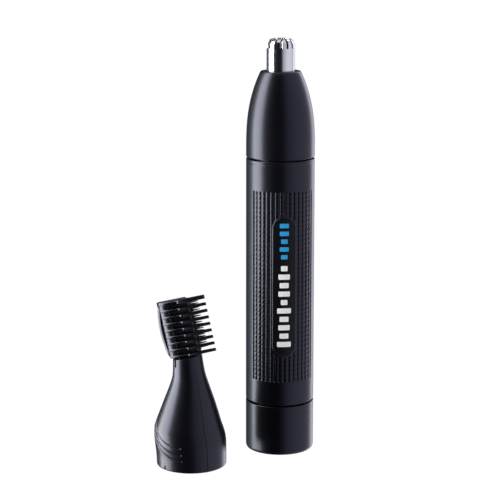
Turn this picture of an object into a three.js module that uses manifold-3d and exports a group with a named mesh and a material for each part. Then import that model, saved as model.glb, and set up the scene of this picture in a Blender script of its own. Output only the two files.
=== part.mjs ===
// A pen-shaped nose hair trimmer on its twist-off battery cap, with its eyebrow head standing beside it.
// Millimetres, +Z up. The origin is the middle of the cap's underside, and the badge faces -Y.

import * as THREE from "three";
import { mergeVertices } from "three/addons/utils/BufferGeometryUtils.js";
import Module from "manifold-3d";

const wasm = await Module();
wasm.setup();

// ---------- driving dimensions ----------

const BODY_TOP_RADIUS = 11.35; // the handle tapers slightly, from base to neck
const BODY_BASE_RADIUS = 11.45;
const CAP_SEAM = 17.0; // height of the joint line between cap and handle
const HEAD_SEAM = 99.5; // height of the joint line between handle and nose head
const TOTAL_HEIGHT = 138.5;
const SEAM_GAP = 0.6;

const WALL = 1.75;
const FIT = 0.2; // running clearance between round pieces
const STACK = 0.1; // clearance between pieces that sit on each other
const SEGMENTS = 40; // sides of the large round pieces
const SMALL_SEGMENTS = 20; // sides of the small round pieces

const AA_RADIUS = 7.25;
const AA_LENGTH = 50.5;
const AA_NUB_RADIUS = 2.75;
const AA_NUB_HEIGHT = 1.2;

const BORE_RADIUS = BODY_TOP_RADIUS - WALL;
const COVER_TOP = 127.9;
const COVER_TOP_RADIUS = 6.6;
const TUBE_RADIUS = 4.65;
const TUBE_WALL = 0.4;

const NECK_RADIUS = 8.9; // the spigot that both heads push on to
const NECK_TOP = HEAD_SEAM + 11;
const SOCKET_RADIUS = NECK_RADIUS + 0.35;
const KEY_WIDTH = 1.8;
const KEY_HEIGHT = 0.5;

const BAYONET_LUGS = 3;
const BAYONET_TRAVEL = 60; // degrees from release to locked
const LUG_HALF_ANGLE = 11; // degrees

const EYEBROW_TURN = -6; // degrees that the eyebrow head is turned about its own axis
const EYEBROW_PLACE = new THREE.Vector3(-31.3, -15.3, 0);
const BLADE_TILT = 11.8; // degrees that the eyebrow blade leans to its left
const COMB_RIBS = 9;
const COMB_PITCH = 2.22;

const BLACK = 0x16171b;
const BADGE_BLACK = 0x0c0c0e;
const DARK_NYLON = 0x26272c;
const STEEL = 0xc4c6ca;
const SPRING_STEEL = 0xa9abb0;
const BRASS = 0xb89a55;
const WHITE_NYLON = 0xd8d6cf;
const RUBBER = 0x1b1b1c;
const BATTERY_GREEN = 0x4c7a5a;

// ---------- helpers ----------

const radians = THREE.MathUtils.degToRad;

// A closed geometry as a solid that can be joined and cut.
function solidOf(geometry) {
  const bare = geometry.clone();
  bare.deleteAttribute("normal");
  bare.deleteAttribute("uv");
  const merged = mergeVertices(bare, 1e-4);
  const mesh = new wasm.Mesh({
    numProp: 3,
    vertProperties: merged.attributes.position.array,
    triVerts: new Uint32Array(merged.index.array),
  });
  return new wasm.Manifold(mesh);
}

function geometryOf(solid) {
  const mesh = solid.getMesh();
  const geometry = new THREE.BufferGeometry();
  geometry.setAttribute("position", new THREE.BufferAttribute(mesh.vertProperties, 3));
  geometry.setIndex(new THREE.BufferAttribute(mesh.triVerts, 1));
  const faceted = geometry.toNonIndexed();
  faceted.computeVertexNormals();
  return faceted;
}

function cut(base, ...tools) {
  const rest = tools.reduce((solid, tool) => solid.subtract(solidOf(tool)), solidOf(base));
  return geometryOf(rest);
}

function join(...pieces) {
  return geometryOf(pieces.map(solidOf).reduce((all, piece) => all.add(piece)));
}

function common(first, second) {
  return geometryOf(solidOf(first).intersect(solidOf(second)));
}

// Turns a profile of [radius, height] points, listed from the bottom up the outside, about Z.
function turned(profile, segments = SEGMENTS) {
  const points = profile.map(([radius, height]) => new THREE.Vector2(radius, height));
  return new THREE.LatheGeometry(points, segments).rotateX(Math.PI / 2);
}

function disc(radius, bottom, top, segments = SEGMENTS) {
  return turned([[0, bottom], [radius, bottom], [radius, top], [0, top]], segments);
}

function ring(outer, inner, bottom, top, segments = SEGMENTS) {
  const profile = [[inner, bottom], [outer, bottom], [outer, top], [inner, top], [inner, bottom]];
  return turned(profile, segments);
}

// A box from its lowest and highest corners.
function block(low, high) {
  const size = high.map((value, i) => value - low[i]);
  const middle = high.map((value, i) => (value + low[i]) / 2);
  return new THREE.BoxGeometry(...size).translate(...middle);
}

// An outline of [x, y] points pulled up from one height to another.
function prism(outline, bottom, top) {
  const shape = new THREE.Shape(outline.map(([x, y]) => new THREE.Vector2(x, y)));
  const options = { depth: top - bottom, bevelEnabled: false };
  return new THREE.ExtrudeGeometry(shape, options).translate(0, 0, bottom);
}

// A plate drawn in X and Z, with its thickness along Y from front to back.
function plate(outline, front, back) {
  return prism(outline, 0, back - front).rotateX(Math.PI / 2).translate(0, back, 0);
}

// A slice of a ring between two angles, in degrees from +X.
function ringSlice(outer, inner, bottom, top, from, to) {
  const shape = new THREE.Shape();
  shape.absarc(0, 0, outer, radians(from), radians(to), false);
  shape.absarc(0, 0, inner, radians(to), radians(from), true);
  const options = { depth: top - bottom, bevelEnabled: false, curveSegments: 7 };
  return new THREE.ExtrudeGeometry(shape, options).translate(0, 0, bottom);
}

class Helix extends THREE.Curve {
  constructor(radius, bottom, top, turns) {
    super();
    Object.assign(this, { radius, bottom, top, turns });
  }
  getPoint(t) {
    const angle = 2 * Math.PI * this.turns * t;
    const height = THREE.MathUtils.lerp(this.bottom, this.top, t);
    return new THREE.Vector3(this.radius * Math.cos(angle), this.radius * Math.sin(angle), height);
  }
}

function coilSpring(radius, wire, bottom, top, turns) {
  const section = new THREE.Shape().absarc(0, 0, wire / 2, 0, 2 * Math.PI, false);
  const path = new Helix(radius, bottom + wire / 2, top - wire / 2, turns);
  const options = { extrudePath: path, steps: turns * 10, curveSegments: 2, bevelEnabled: false };
  return new THREE.ExtrudeGeometry(section, options);
}

function material(colour, roughness, metalness = 0) {
  return new THREE.MeshStandardMaterial({ color: colour, roughness, metalness });
}

const plastic = () => material(BLACK, 0.35);
const nylon = () => material(DARK_NYLON, 0.5);
const steel = () => material(STEEL, 0.2, 1);
const springSteel = () => material(SPRING_STEEL, 0.3, 1);
const brass = () => material(BRASS, 0.3, 1);

function place(group, name, geometry, look) {
  const mesh = new THREE.Mesh(geometry, look);
  mesh.name = name;
  group.add(mesh);
}

const trimmer = new THREE.Group();
const eyebrow = new THREE.Group();
eyebrow.position.copy(EYEBROW_PLACE);
eyebrow.rotation.z = radians(EYEBROW_TURN);
const blades = new THREE.Group(); // the leaning frame of the eyebrow blades: X across them, Z along them
blades.rotation.y = -radians(BLADE_TILT);
eyebrow.add(blades);

// ---------- battery cap and its contacts ----------

const CAP_TOP = CAP_SEAM - SEAM_GAP / 2;
const CAP_FLOOR = 1.8;
const CAP_EDGE = 1.2;
const CAP_CAVITY_RADIUS = 8.3;
const COLLAR_RADIUS = BORE_RADIUS - 0.3;
const COLLAR_TOP = 22.5;
const SEAL_HEIGHT = 18.0;
const SEAL_RADIUS = 0.45;
const SEAL_MIDDLE = COLLAR_RADIUS - 0.25;
const LUG_BOTTOM = 19.3;
const LUG_TOP = 20.7;
const LUG_OUTER = COLLAR_RADIUS + 0.85;

function batteryCap() {
  const edge = [0, 30, 60, 90].map((angle) => [
    BODY_BASE_RADIUS - CAP_EDGE + CAP_EDGE * Math.sin(radians(angle)),
    CAP_EDGE - CAP_EDGE * Math.cos(radians(angle)),
  ]);
  const cup = turned([
    [0, 0],
    ...edge,
    [BODY_BASE_RADIUS, CAP_TOP],
    [COLLAR_RADIUS, CAP_TOP],
    [COLLAR_RADIUS, COLLAR_TOP],
    [CAP_CAVITY_RADIUS, COLLAR_TOP],
    [CAP_CAVITY_RADIUS, CAP_FLOOR],
    [0, CAP_FLOOR],
  ]);
  const grooveDepth = 0.8;
  const grooveHalf = SEAL_RADIUS + 0.1;
  const groove = ring(
    BODY_BASE_RADIUS,
    COLLAR_RADIUS - grooveDepth,
    SEAL_HEIGHT - grooveHalf,
    SEAL_HEIGHT + grooveHalf,
  );
  const lugs = [];
  for (let i = 0; i < BAYONET_LUGS; i += 1) {
    const middle = (i * 360) / BAYONET_LUGS + 90;
    const inner = COLLAR_RADIUS - 0.4;
    const from = middle - LUG_HALF_ANGLE;
    const to = middle + LUG_HALF_ANGLE;
    lugs.push(ringSlice(LUG_OUTER, inner, LUG_BOTTOM, LUG_TOP, from, to));
  }
  return join(cut(cup, groove), ...lugs);
}

function sealRing() {
  const section = new THREE.Shape().absarc(SEAL_MIDDLE, SEAL_HEIGHT, SEAL_RADIUS, 0, 2 * Math.PI, false);
  const profile = section.getPoints(3).map((point) => [point.x, point.y]);
  return turned(profile);
}

const CARRIER_TOP = 4.6;
const CONTACT_THICKNESS = 0.4;
const BATTERY_BOTTOM = 10.6;

function contactCarrier() {
  const body = disc(CAP_CAVITY_RADIUS - 0.3, CAP_FLOOR + FIT, CARRIER_TOP);
  const well = disc(5.2, CARRIER_TOP - 0.8, CARRIER_TOP + 1);
  const wireSlot = block([5, -1, CARRIER_TOP - 1.2], [9, 1, CARRIER_TOP + 1]);
  return cut(body, well, wireSlot);
}

function capContactPlate() {
  const bottom = CARRIER_TOP - 0.8 + STACK;
  return disc(5.0, bottom, bottom + CONTACT_THICKNESS, SMALL_SEGMENTS);
}

function capSpring() {
  const bottom = CARRIER_TOP - 0.8 + 2 * STACK + CONTACT_THICKNESS;
  return coilSpring(3.6, 0.8, bottom, BATTERY_BOTTOM - STACK, 3);
}

place(trimmer, "battery_cap", batteryCap(), plastic());
place(trimmer, "cap_seal_ring", sealRing(), material(RUBBER, 0.7));
place(trimmer, "contact_carrier", contactCarrier(), nylon());
place(trimmer, "cap_contact_plate", capContactPlate(), brass());
place(trimmer, "cap_spring", capSpring(), springSteel());

// ---------- battery ----------

const BATTERY_SHOULDER = BATTERY_BOTTOM + AA_LENGTH - AA_NUB_HEIGHT;
const BATTERY_TOP = BATTERY_BOTTOM + AA_LENGTH;

function batteryCan() {
  const edge = 0.5;
  return turned(
    [
      [0, BATTERY_BOTTOM],
      [AA_RADIUS - edge, BATTERY_BOTTOM],
      [AA_RADIUS, BATTERY_BOTTOM + edge],
      [AA_RADIUS, BATTERY_SHOULDER - edge],
      [AA_RADIUS - edge, BATTERY_SHOULDER],
      [0, BATTERY_SHOULDER],
    ],
    36,
  );
}

place(trimmer, "aa_battery", batteryCan(), material(BATTERY_GREEN, 0.4));
place(
  trimmer,
  "battery_positive_nub",
  disc(AA_NUB_RADIUS, BATTERY_SHOULDER + 0.02, BATTERY_TOP, SMALL_SEGMENTS),
  steel(),
);

// ---------- handle ----------

const HANDLE_BOTTOM = CAP_SEAM + SEAM_GAP / 2;
const HANDLE_TOP = HEAD_SEAM - SEAM_GAP / 2;
const GRIP_BOTTOM = 25.4;
const GRIP_TOP = 89.4;
const GRIP_COLUMNS = 44;
const GRIP_HALF_ANGLE = 58; // the grip covers the front and the back, and leaves the two sides smooth
const FLUTE_WIDTH = 0.4;
const FLUTE_DEPTH = 0.25;
const BADGE_BOTTOM = 34.1;
const BADGE_TOP = 81.3;
const BADGE_HALF_WIDTH = 3.85;
const BADGE_RECESS = 0.45;

// The badge's outline in X and Z: a strip with round ends.
function badgeOutline(margin) {
  const half = BADGE_HALF_WIDTH + margin;
  const shape = new THREE.Shape();
  shape.absarc(0, BADGE_TOP - BADGE_HALF_WIDTH, half, 0, Math.PI, false);
  shape.absarc(0, BADGE_BOTTOM + BADGE_HALF_WIDTH, half, Math.PI, 2 * Math.PI, false);
  return shape.getPoints(6).map((point) => [point.x, point.y]);
}

function handleShell() {
  const tube = turned([
    [BORE_RADIUS, HANDLE_BOTTOM],
    [BODY_BASE_RADIUS, HANDLE_BOTTOM],
    [BODY_TOP_RADIUS, HANDLE_TOP],
    [BORE_RADIUS, HANDLE_TOP],
    [BORE_RADIUS, HANDLE_BOTTOM],
  ]);
  const cuts = [];
  const floor = BODY_TOP_RADIUS - FLUTE_DEPTH;
  const badgeHalfAngle = 26;
  for (let i = 0; i < GRIP_COLUMNS; i += 1) {
    const angle = (i * 360) / GRIP_COLUMNS;
    const fromBadge = Math.abs(((angle + 90 + 180) % 360) - 180);
    if (fromBadge < badgeHalfAngle) continue;
    if (Math.min(fromBadge, 180 - fromBadge) > GRIP_HALF_ANGLE) continue;
    const flute = block([floor, -FLUTE_WIDTH / 2, GRIP_BOTTOM], [floor + 2, FLUTE_WIDTH / 2, GRIP_TOP]);
    cuts.push(flute.rotateZ(radians(angle)));
  }
  const badgeSeat = cut(
    plate(badgeOutline(0.1), -BODY_BASE_RADIUS - 1, 0),
    disc(BODY_TOP_RADIUS - BADGE_RECESS, 0, TOTAL_HEIGHT),
  );
  cuts.push(badgeSeat);
  const slotRadius = LUG_OUTER + FIT;
  const slotHalf = LUG_HALF_ANGLE + 2;
  for (let i = 0; i < BAYONET_LUGS; i += 1) {
    const middle = (i * 360) / BAYONET_LUGS + 90;
    const from = middle - slotHalf;
    const inner = BORE_RADIUS - 1;
    cuts.push(ringSlice(slotRadius, inner, HANDLE_BOTTOM - 1, LUG_TOP + FIT, from, middle + slotHalf));
    const end = middle + slotHalf + BAYONET_TRAVEL;
    cuts.push(ringSlice(slotRadius, inner, LUG_BOTTOM - FIT, LUG_TOP + FIT, from, end));
  }
  return cut(tube, ...cuts);
}

function labelBadge() {
  const skin = ring(
    BODY_TOP_RADIUS - 0.05,
    BODY_TOP_RADIUS - BADGE_RECESS + STACK,
    BADGE_BOTTOM - 1,
    BADGE_TOP + 1,
  );
  return common(skin, plate(badgeOutline(-0.05), -BODY_BASE_RADIUS - 1, 0));
}

place(trimmer, "handle_shell", handleShell(), plastic());
place(trimmer, "label_badge", labelBadge(), material(BADGE_BLACK, 0.6));

// ---------- chassis, motor and wiring ----------

const CHASSIS_RADIUS = BORE_RADIUS - 0.3;
const CHASSIS_BOTTOM = 24;
const BULKHEAD_BOTTOM = BATTERY_TOP + 0.9;
const BULKHEAD_TOP = BULKHEAD_BOTTOM + 2;
const MOTOR_BOTTOM = BULKHEAD_TOP + 0.6;
const MOTOR_TOP = MOTOR_BOTTOM + 20;
const MOTOR_RADIUS = 7.75;
const MOTOR_HALF_FLAT = 6.0;
const MOTOR_BOSS_RADIUS = 3.0;
const MOTOR_BOSS_HEIGHT = 1.5;
const END_BELL_HEIGHT = 3.5;
const SHAFT_RADIUS = 1.0;
const CHASSIS_TOP = MOTOR_TOP + 2;
const NECK_FLANGE_BOTTOM = 94.6;
const NECK_FLANGE_TOP = 96.2;
const PILLAR_PLACE = 6.2;
const PILLAR_RADIUS = 1.7;
const SCREW_RADIUS = 0.7;
const SCREW_HEAD_RADIUS = 1.3;

// The motor's section, a disc with its two sides cut flat, grown by a margin.
function motorSection(margin, bottom, top) {
  const round = disc(MOTOR_RADIUS + margin, bottom, top, 36);
  const reach = MOTOR_RADIUS + 2;
  const half = MOTOR_HALF_FLAT + margin;
  return common(round, block([-reach, -half, bottom - 1], [reach, half, top + 1]));
}

function chassis() {
  const body = disc(CHASSIS_RADIUS, CHASSIS_BOTTOM, CHASSIS_TOP);
  const pillars = [-1, 1].map((side) =>
    disc(PILLAR_RADIUS, CHASSIS_TOP - 1, NECK_FLANGE_BOTTOM - STACK, 16).translate(side * PILLAR_PLACE, 0, 0),
  );
  const holes = [-1, 1].map((side) =>
    disc(SCREW_RADIUS + STACK, CHASSIS_TOP + 1, TOTAL_HEIGHT, 12).translate(side * PILLAR_PLACE, 0, 0),
  );
  const batteryBay = disc(AA_RADIUS + FIT, CHASSIS_BOTTOM - 1, BULKHEAD_BOTTOM);
  const batteryWindow = block([-6, -12, CHASSIS_BOTTOM - 1], [6, 0, BULKHEAD_BOTTOM - 2]);
  const contactHole = block([-1.2, -7, BULKHEAD_BOTTOM - 1], [1.2, 7, BULKHEAD_TOP + 1]);
  const motorBay = motorSection(FIT, BULKHEAD_TOP, MOTOR_TOP + STACK);
  const motorWindow = block([-5, -12, BULKHEAD_TOP], [5, -2, MOTOR_TOP - 2]);
  const bossHole = disc(MOTOR_BOSS_RADIUS + FIT, MOTOR_TOP - 1, CHASSIS_TOP + 1, SMALL_SEGMENTS);
  const stripChannel = block([-2, 8, CHASSIS_BOTTOM - 1], [2, 12, MOTOR_BOTTOM + 4]);
  const cuts = [batteryBay, batteryWindow, contactHole, motorBay, motorWindow, bossHole, stripChannel];
  return cut(join(body, ...pillars), ...cuts, ...holes);
}

function motorCan() {
  const bottom = MOTOR_BOTTOM + END_BELL_HEIGHT;
  const boss = disc(MOTOR_BOSS_RADIUS, MOTOR_TOP - 1, MOTOR_TOP + MOTOR_BOSS_HEIGHT, SMALL_SEGMENTS);
  const bore = disc(SHAFT_RADIUS + FIT, bottom - 1, TOTAL_HEIGHT, 16);
  return cut(join(motorSection(0, bottom, MOTOR_TOP), boss), bore);
}

function motorEndBell() {
  const top = MOTOR_BOTTOM + END_BELL_HEIGHT - STACK;
  const bell = motorSection(-0.3, MOTOR_BOTTOM, top);
  const tags = [-1, 1].map((side) => {
    const middle = side * 4;
    return block([middle - 1.1, -0.5, MOTOR_BOTTOM - 1], [middle + 1.1, 0.5, MOTOR_BOTTOM + 2]);
  });
  return cut(bell, ...tags);
}

function motorTerminal(side) {
  const middle = side * 4;
  return block([middle - 0.9, -0.2, MOTOR_BOTTOM - 0.4], [middle + 0.9, 0.2, MOTOR_BOTTOM + 1.8]);
}

function positiveContact() {
  const bottom = BATTERY_TOP + 0.2;
  const face = disc(4.2, bottom, bottom + CONTACT_THICKNESS, SMALL_SEGMENTS);
  const tab = block([-0.8, -0.2, bottom + 0.2], [0.8, 0.2, BULKHEAD_TOP + 0.1]);
  return join(face, tab);
}

function negativeStrip() {
  const top = MOTOR_BOTTOM + 3;
  return block([-1.5, 8.3, COLLAR_TOP + 0.4], [1.5, 8.7, top]);
}

function neckCollar() {
  const sleeve = turned([
    [4.0, NECK_FLANGE_BOTTOM],
    [BORE_RADIUS - 0.15, NECK_FLANGE_BOTTOM],
    [BORE_RADIUS - 0.15, HANDLE_TOP - 0.2],
    [NECK_RADIUS, HANDLE_TOP - 0.2],
    [NECK_RADIUS, NECK_TOP - 0.6],
    [NECK_RADIUS - 0.6, NECK_TOP],
    [7.0, NECK_TOP],
    [7.0, NECK_FLANGE_TOP + 3],
    [8.2, NECK_FLANGE_TOP + 2],
    [8.2, NECK_FLANGE_TOP],
    [4.0, NECK_FLANGE_TOP],
    [4.0, NECK_FLANGE_BOTTOM],
  ]);
  const halfKey = KEY_WIDTH / 2;
  const keyTip = NECK_RADIUS + KEY_HEIGHT - 0.2;
  const key = block([-halfKey, NECK_RADIUS - 1, HEAD_SEAM + 0.6], [halfKey, keyTip, NECK_TOP - 2]);
  const groove = ring(NECK_RADIUS + 2, NECK_RADIUS - 0.6, NECK_RING - 0.6, NECK_RING + 0.6);
  const holes = [-1, 1].map((side) =>
    disc(SCREW_RADIUS + STACK, NECK_FLANGE_BOTTOM - 1, NECK_FLANGE_TOP + 1, 12).translate(side * PILLAR_PLACE, 0, 0),
  );
  return cut(join(sleeve, key), groove, ...holes);
}

const NECK_RING = HEAD_SEAM + 3.5;

function neckRing() {
  const section = new THREE.Shape().absarc(NECK_RADIUS - 0.1, NECK_RING, 0.4, 0, 2 * Math.PI, false);
  return turned(section.getPoints(3).map((point) => [point.x, point.y]));
}

function neckScrew(side) {
  const shank = disc(SCREW_RADIUS, CHASSIS_TOP + 2, NECK_FLANGE_TOP + 0.3, 12);
  const head = disc(SCREW_HEAD_RADIUS, NECK_FLANGE_TOP + STACK, NECK_FLANGE_TOP + 0.9, 16);
  const slot = block([-2, -0.2, NECK_FLANGE_TOP + 0.6], [2, 0.2, NECK_FLANGE_TOP + 2]);
  return cut(join(shank, head), slot).translate(side * PILLAR_PLACE, 0, 0);
}

place(trimmer, "chassis", chassis(), nylon());
place(trimmer, "motor_can", motorCan(), springSteel());
place(trimmer, "motor_end_bell", motorEndBell(), material(WHITE_NYLON, 0.5));
place(trimmer, "motor_terminal_left", motorTerminal(-1), brass());
place(trimmer, "motor_terminal_right", motorTerminal(1), brass());
place(trimmer, "positive_contact", positiveContact(), brass());
place(trimmer, "negative_strip", negativeStrip(), brass());
place(trimmer, "neck_collar", neckCollar(), nylon());
place(trimmer, "neck_ring", neckRing(), material(RUBBER, 0.7));
place(trimmer, "neck_screw_left", neckScrew(-1), steel());
place(trimmer, "neck_screw_right", neckScrew(1), steel());

// ---------- drive ----------

const KEY_ARM = 2.1; // half the width of the cross-shaped drive key
const KEY_THICKNESS = 0.6; // half its thickness
const COUPLING_BOTTOM = CHASSIS_TOP + 1;
const COUPLING_SHOULDER = HEAD_SEAM - 1.2;
const COUPLING_TOP = HEAD_SEAM + 6;

// Two crossed bars about Z, grown by a margin.
function cross(margin, bottom, top) {
  const arm = KEY_ARM + margin;
  const half = KEY_THICKNESS + margin;
  return join(
    block([-arm, -half, bottom], [arm, half, top]),
    block([-half, -arm, bottom], [half, arm, top]),
  );
}

function driveCoupling() {
  const body = disc(2.8, COUPLING_BOTTOM, COUPLING_SHOULDER, SMALL_SEGMENTS);
  const bore = disc(SHAFT_RADIUS + STACK, COUPLING_BOTTOM - 1, COUPLING_BOTTOM + 6, 16);
  return cut(join(body, cross(0, COUPLING_SHOULDER - 1, COUPLING_TOP)), bore);
}

// The cup on a head that takes the cross-shaped key, from its mouth up to its closed end.
function driveCup(mouth, end) {
  const depth = COUPLING_TOP - HEAD_SEAM + 1;
  return cut(disc(3.2, mouth, end, SMALL_SEGMENTS), cross(0.25, mouth - 1, mouth + depth));
}

place(trimmer, "motor_shaft", disc(SHAFT_RADIUS, MOTOR_BOTTOM + 5, COUPLING_BOTTOM + 5.8, 16), steel());
place(trimmer, "drive_coupling", driveCoupling(), material(WHITE_NYLON, 0.5));

// ---------- nose head ----------

const COVER_BOTTOM = HEAD_SEAM + SEAM_GAP / 2;
const OGIVE_START = 103;
const OGIVE_POWER = 2.5;
const FLANGE_TOP = 122.2;
const FLANGE_RADIUS = 6.0;
const COVER_BORE = 7.0;
const SLOT_COUNT = 14;
const SLOT_WIDTH = 0.45;
const SLOT_TURN = 8; // degrees from +X to the first slot
const SLOT_BOTTOM = 135.4;
const SLOT_HUB_RADIUS = 1.6;
const DOME_RADIUS = 2.4;
const CUTTER_SHAFT_RADIUS = 0.9;

// Radius of the cover's outside: straight, then falling faster and faster to the rim.
function coverRadius(height) {
  const along = Math.max(0, (height - OGIVE_START) / (COVER_TOP - OGIVE_START));
  return BODY_TOP_RADIUS - (BODY_TOP_RADIUS - COVER_TOP_RADIUS) * along ** OGIVE_POWER;
}

function noseCover() {
  const outside = [];
  const rings = 9;
  for (let i = 0; i <= rings; i += 1) {
    const height = THREE.MathUtils.lerp(OGIVE_START, COVER_TOP - 0.3, i / rings);
    outside.push([coverRadius(height), height]);
  }
  const shell = turned([
    [SOCKET_RADIUS, COVER_BOTTOM],
    [BODY_TOP_RADIUS, COVER_BOTTOM],
    ...outside,
    [COVER_TOP_RADIUS - 0.3, COVER_TOP],
    [TUBE_RADIUS + 0.15, COVER_TOP],
    [TUBE_RADIUS + 0.15, FLANGE_TOP + STACK],
    [COVER_BORE, FLANGE_TOP + STACK],
    [COVER_BORE, NECK_TOP + 2],
    [SOCKET_RADIUS, NECK_TOP + 0.7],
    [SOCKET_RADIUS, COVER_BOTTOM],
  ]);
  const halfGroove = KEY_WIDTH / 2 + FIT;
  const keyGroove = block(
    [-halfGroove, 0, COVER_BOTTOM - 1],
    [halfGroove, NECK_RADIUS + KEY_HEIGHT + 0.1, NECK_TOP + 0.5],
  );
  return cut(shell, keyGroove);
}

// The tube's profile, outside or inside: a straight side, a rounded shoulder and a flat top.
function tubeOutline(inset) {
  const radius = TUBE_RADIUS - inset;
  const top = TOTAL_HEIGHT - inset;
  const round = DOME_RADIUS - inset;
  return [0, 30, 60, 90].map((angle) => [
    radius - round + round * Math.cos(radians(angle)),
    top - round + round * Math.sin(radians(angle)),
  ]);
}

function outerCutter() {
  const outside = tubeOutline(0);
  const inside = tubeOutline(TUBE_WALL).reverse();
  const tube = turned(
    [
      [TUBE_RADIUS - TUBE_WALL, FLANGE_TOP - 1],
      [FLANGE_RADIUS, FLANGE_TOP - 1],
      [FLANGE_RADIUS, FLANGE_TOP],
      [TUBE_RADIUS, FLANGE_TOP],
      ...outside,
      [0, TOTAL_HEIGHT],
      [0, TOTAL_HEIGHT - TUBE_WALL],
      ...inside,
      [TUBE_RADIUS - TUBE_WALL, FLANGE_TOP - 1],
    ],
    36,
  );
  const slots = [];
  for (let i = 0; i < SLOT_COUNT; i += 1) {
    const half = SLOT_WIDTH / 2;
    const slot = block([SLOT_HUB_RADIUS, -half, SLOT_BOTTOM], [TUBE_RADIUS + 1, half, TOTAL_HEIGHT + 1]);
    slots.push(slot.rotateZ(radians((i * 360) / SLOT_COUNT + SLOT_TURN)));
  }
  return cut(tube, ...slots);
}

function cutterBush() {
  const outer = TUBE_RADIUS - TUBE_WALL - 0.1;
  const inner = CUTTER_SHAFT_RADIUS + FIT;
  return ring(outer, inner, FLANGE_TOP + 1, FLANGE_TOP + 4, SMALL_SEGMENTS);
}

function cutterRetainer() {
  const top = FLANGE_TOP - 1 - STACK;
  const plateRing = ring(COVER_BORE - 0.15, 2.2, top - 2, top, 36);
  const fork = [0, 90, 180, 270].map((angle) =>
    block([4.6, -0.8, top - 3], [COVER_BORE + 1, 0.8, top - 1.2]).rotateZ(radians(angle)),
  );
  return cut(plateRing, ...fork);
}

const CUP_MOUTH = HEAD_SEAM + 0.2;
const CUP_END = HEAD_SEAM + 9.2;
const ROTOR_BOTTOM = 127.6;
const ROTOR_TOP = TOTAL_HEIGHT - TUBE_WALL - 0.15;
const ROTOR_RADIUS = TUBE_RADIUS - TUBE_WALL - 0.15;

function cutterShaft() {
  return disc(CUTTER_SHAFT_RADIUS, CUP_END - 1.3, ROTOR_BOTTOM + 2.5, 16);
}

// Two crossed blades under a hub, trimmed to the inside of the slotted tube.
function innerCutter() {
  const half = 0.35;
  const reach = ROTOR_RADIUS;
  const hub = disc(1.7, ROTOR_BOTTOM, ROTOR_BOTTOM + 3.5, 16);
  const vanes = [0, 90].map((angle) =>
    block([-reach, -half, ROTOR_BOTTOM + 1], [reach, half, ROTOR_TOP]).rotateZ(radians(angle)),
  );
  const inside = tubeOutline(TUBE_WALL + 0.15);
  const envelope = turned([[0, ROTOR_BOTTOM], [ROTOR_RADIUS, ROTOR_BOTTOM], ...inside, [0, ROTOR_TOP]], 36);
  const bore = disc(CUTTER_SHAFT_RADIUS + STACK, ROTOR_BOTTOM - 1, ROTOR_BOTTOM + 2.6, 16);
  return cut(common(join(hub, ...vanes), envelope), bore);
}

function cutterCup() {
  const bore = disc(CUTTER_SHAFT_RADIUS + STACK, CUP_END - 1.4, CUP_END + 1, 16);
  return cut(driveCup(CUP_MOUTH, CUP_END), bore);
}

place(trimmer, "nose_cover", noseCover(), plastic());
place(trimmer, "outer_cutter", outerCutter(), steel());
place(trimmer, "cutter_bush", cutterBush(), brass());
place(trimmer, "cutter_retainer", cutterRetainer(), nylon());
place(
  trimmer,
  "cutter_spring",
  coilSpring(2.0, 0.45, CUP_END + STACK, FLANGE_TOP - 1 - STACK - 2 - STACK, 5),
  springSteel(),
);
place(trimmer, "cutter_shaft", cutterShaft(), steel());
place(trimmer, "inner_cutter", innerCutter(), steel());
place(trimmer, "cutter_cup", cutterCup(), material(WHITE_NYLON, 0.5));

// ---------- eyebrow head: body ----------

const PLATE_BOTTOM = NECK_TOP - HEAD_SEAM + 1;
const PLATE_TOP = PLATE_BOTTOM + 1.5;
const EYEBROW_WALL = 1.5;
const PARTING_ANGLE = -61; // degrees from +X of the joint line between the two half shells
const PARTING_GAP = 0.12;
const NECK_CUT = 36.2; // the leaning height where the shells end
const FLASK_HEIGHT = 40;
const RIM_NOTCHES = [-137, 43]; // degrees from +X
const NOTCH_WIDTH = 0.7;
const NOTCH_HEIGHT = 1.6;

// The body's outline at chosen heights: how far it reaches to the left and to the right.
const FLASK_OUTLINE = [
  { height: 0, left: 11.4, right: 11.75 },
  { height: 4, left: 11.6, right: 11.75 },
  { height: 8.5, left: 12.1, right: 11.65 },
  { height: 11.5, left: 12.15, right: 11.05 },
  { height: 14, left: 11.75, right: 10.2 },
  { height: 21, left: 9.15, right: 8.15 },
  { height: 28, left: 6.5, right: 5.8 },
  { height: 32, left: 5.85, right: 4.7 },
  { height: 40, left: 5.85, right: 3.5 },
];
const leftCurve = new THREE.SplineCurve(FLASK_OUTLINE.map((p) => new THREE.Vector2(p.left, p.height)));
const rightCurve = new THREE.SplineCurve(FLASK_OUTLINE.map((p) => new THREE.Vector2(p.right, p.height)));

// The reach of an outline curve at a height, found by halving.
function reachAt(curve, height) {
  let low = 0;
  let high = 1;
  for (let i = 0; i < 30; i += 1) {
    const middle = (low + high) / 2;
    if (curve.getPoint(middle).y < height) low = middle;
    else high = middle;
  }
  return curve.getPoint(low).x;
}

// The body's solid between two heights, shrunk all round by an inset and built from a number of bands.
function flask(inset, bottom, top, rings) {
  const profile = [[0, bottom]];
  for (let i = 0; i <= rings; i += 1) profile.push([1, THREE.MathUtils.lerp(bottom, top, i / rings)]);
  profile.push([0, top]);
  const geometry = turned(profile);
  const position = geometry.attributes.position;
  for (let i = 0; i < position.count; i += 1) {
    const height = position.getZ(i);
    const left = reachAt(leftCurve, height) - inset;
    const right = reachAt(rightCurve, height) - inset;
    const half = (left + right) / 2;
    position.setX(i, (right - left) / 2 + position.getX(i) * half);
    position.setY(i, position.getY(i) * half);
  }
  return geometry;
}

// Everything on the +Y side of a plane through Z at the given angle.
function halfSpace(angle, gap) {
  const reach = 30;
  const slab = block([-reach, gap / 2, -reach], [reach, 2 * reach, 2 * reach]);
  return slab.rotateZ(radians(angle));
}

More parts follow.
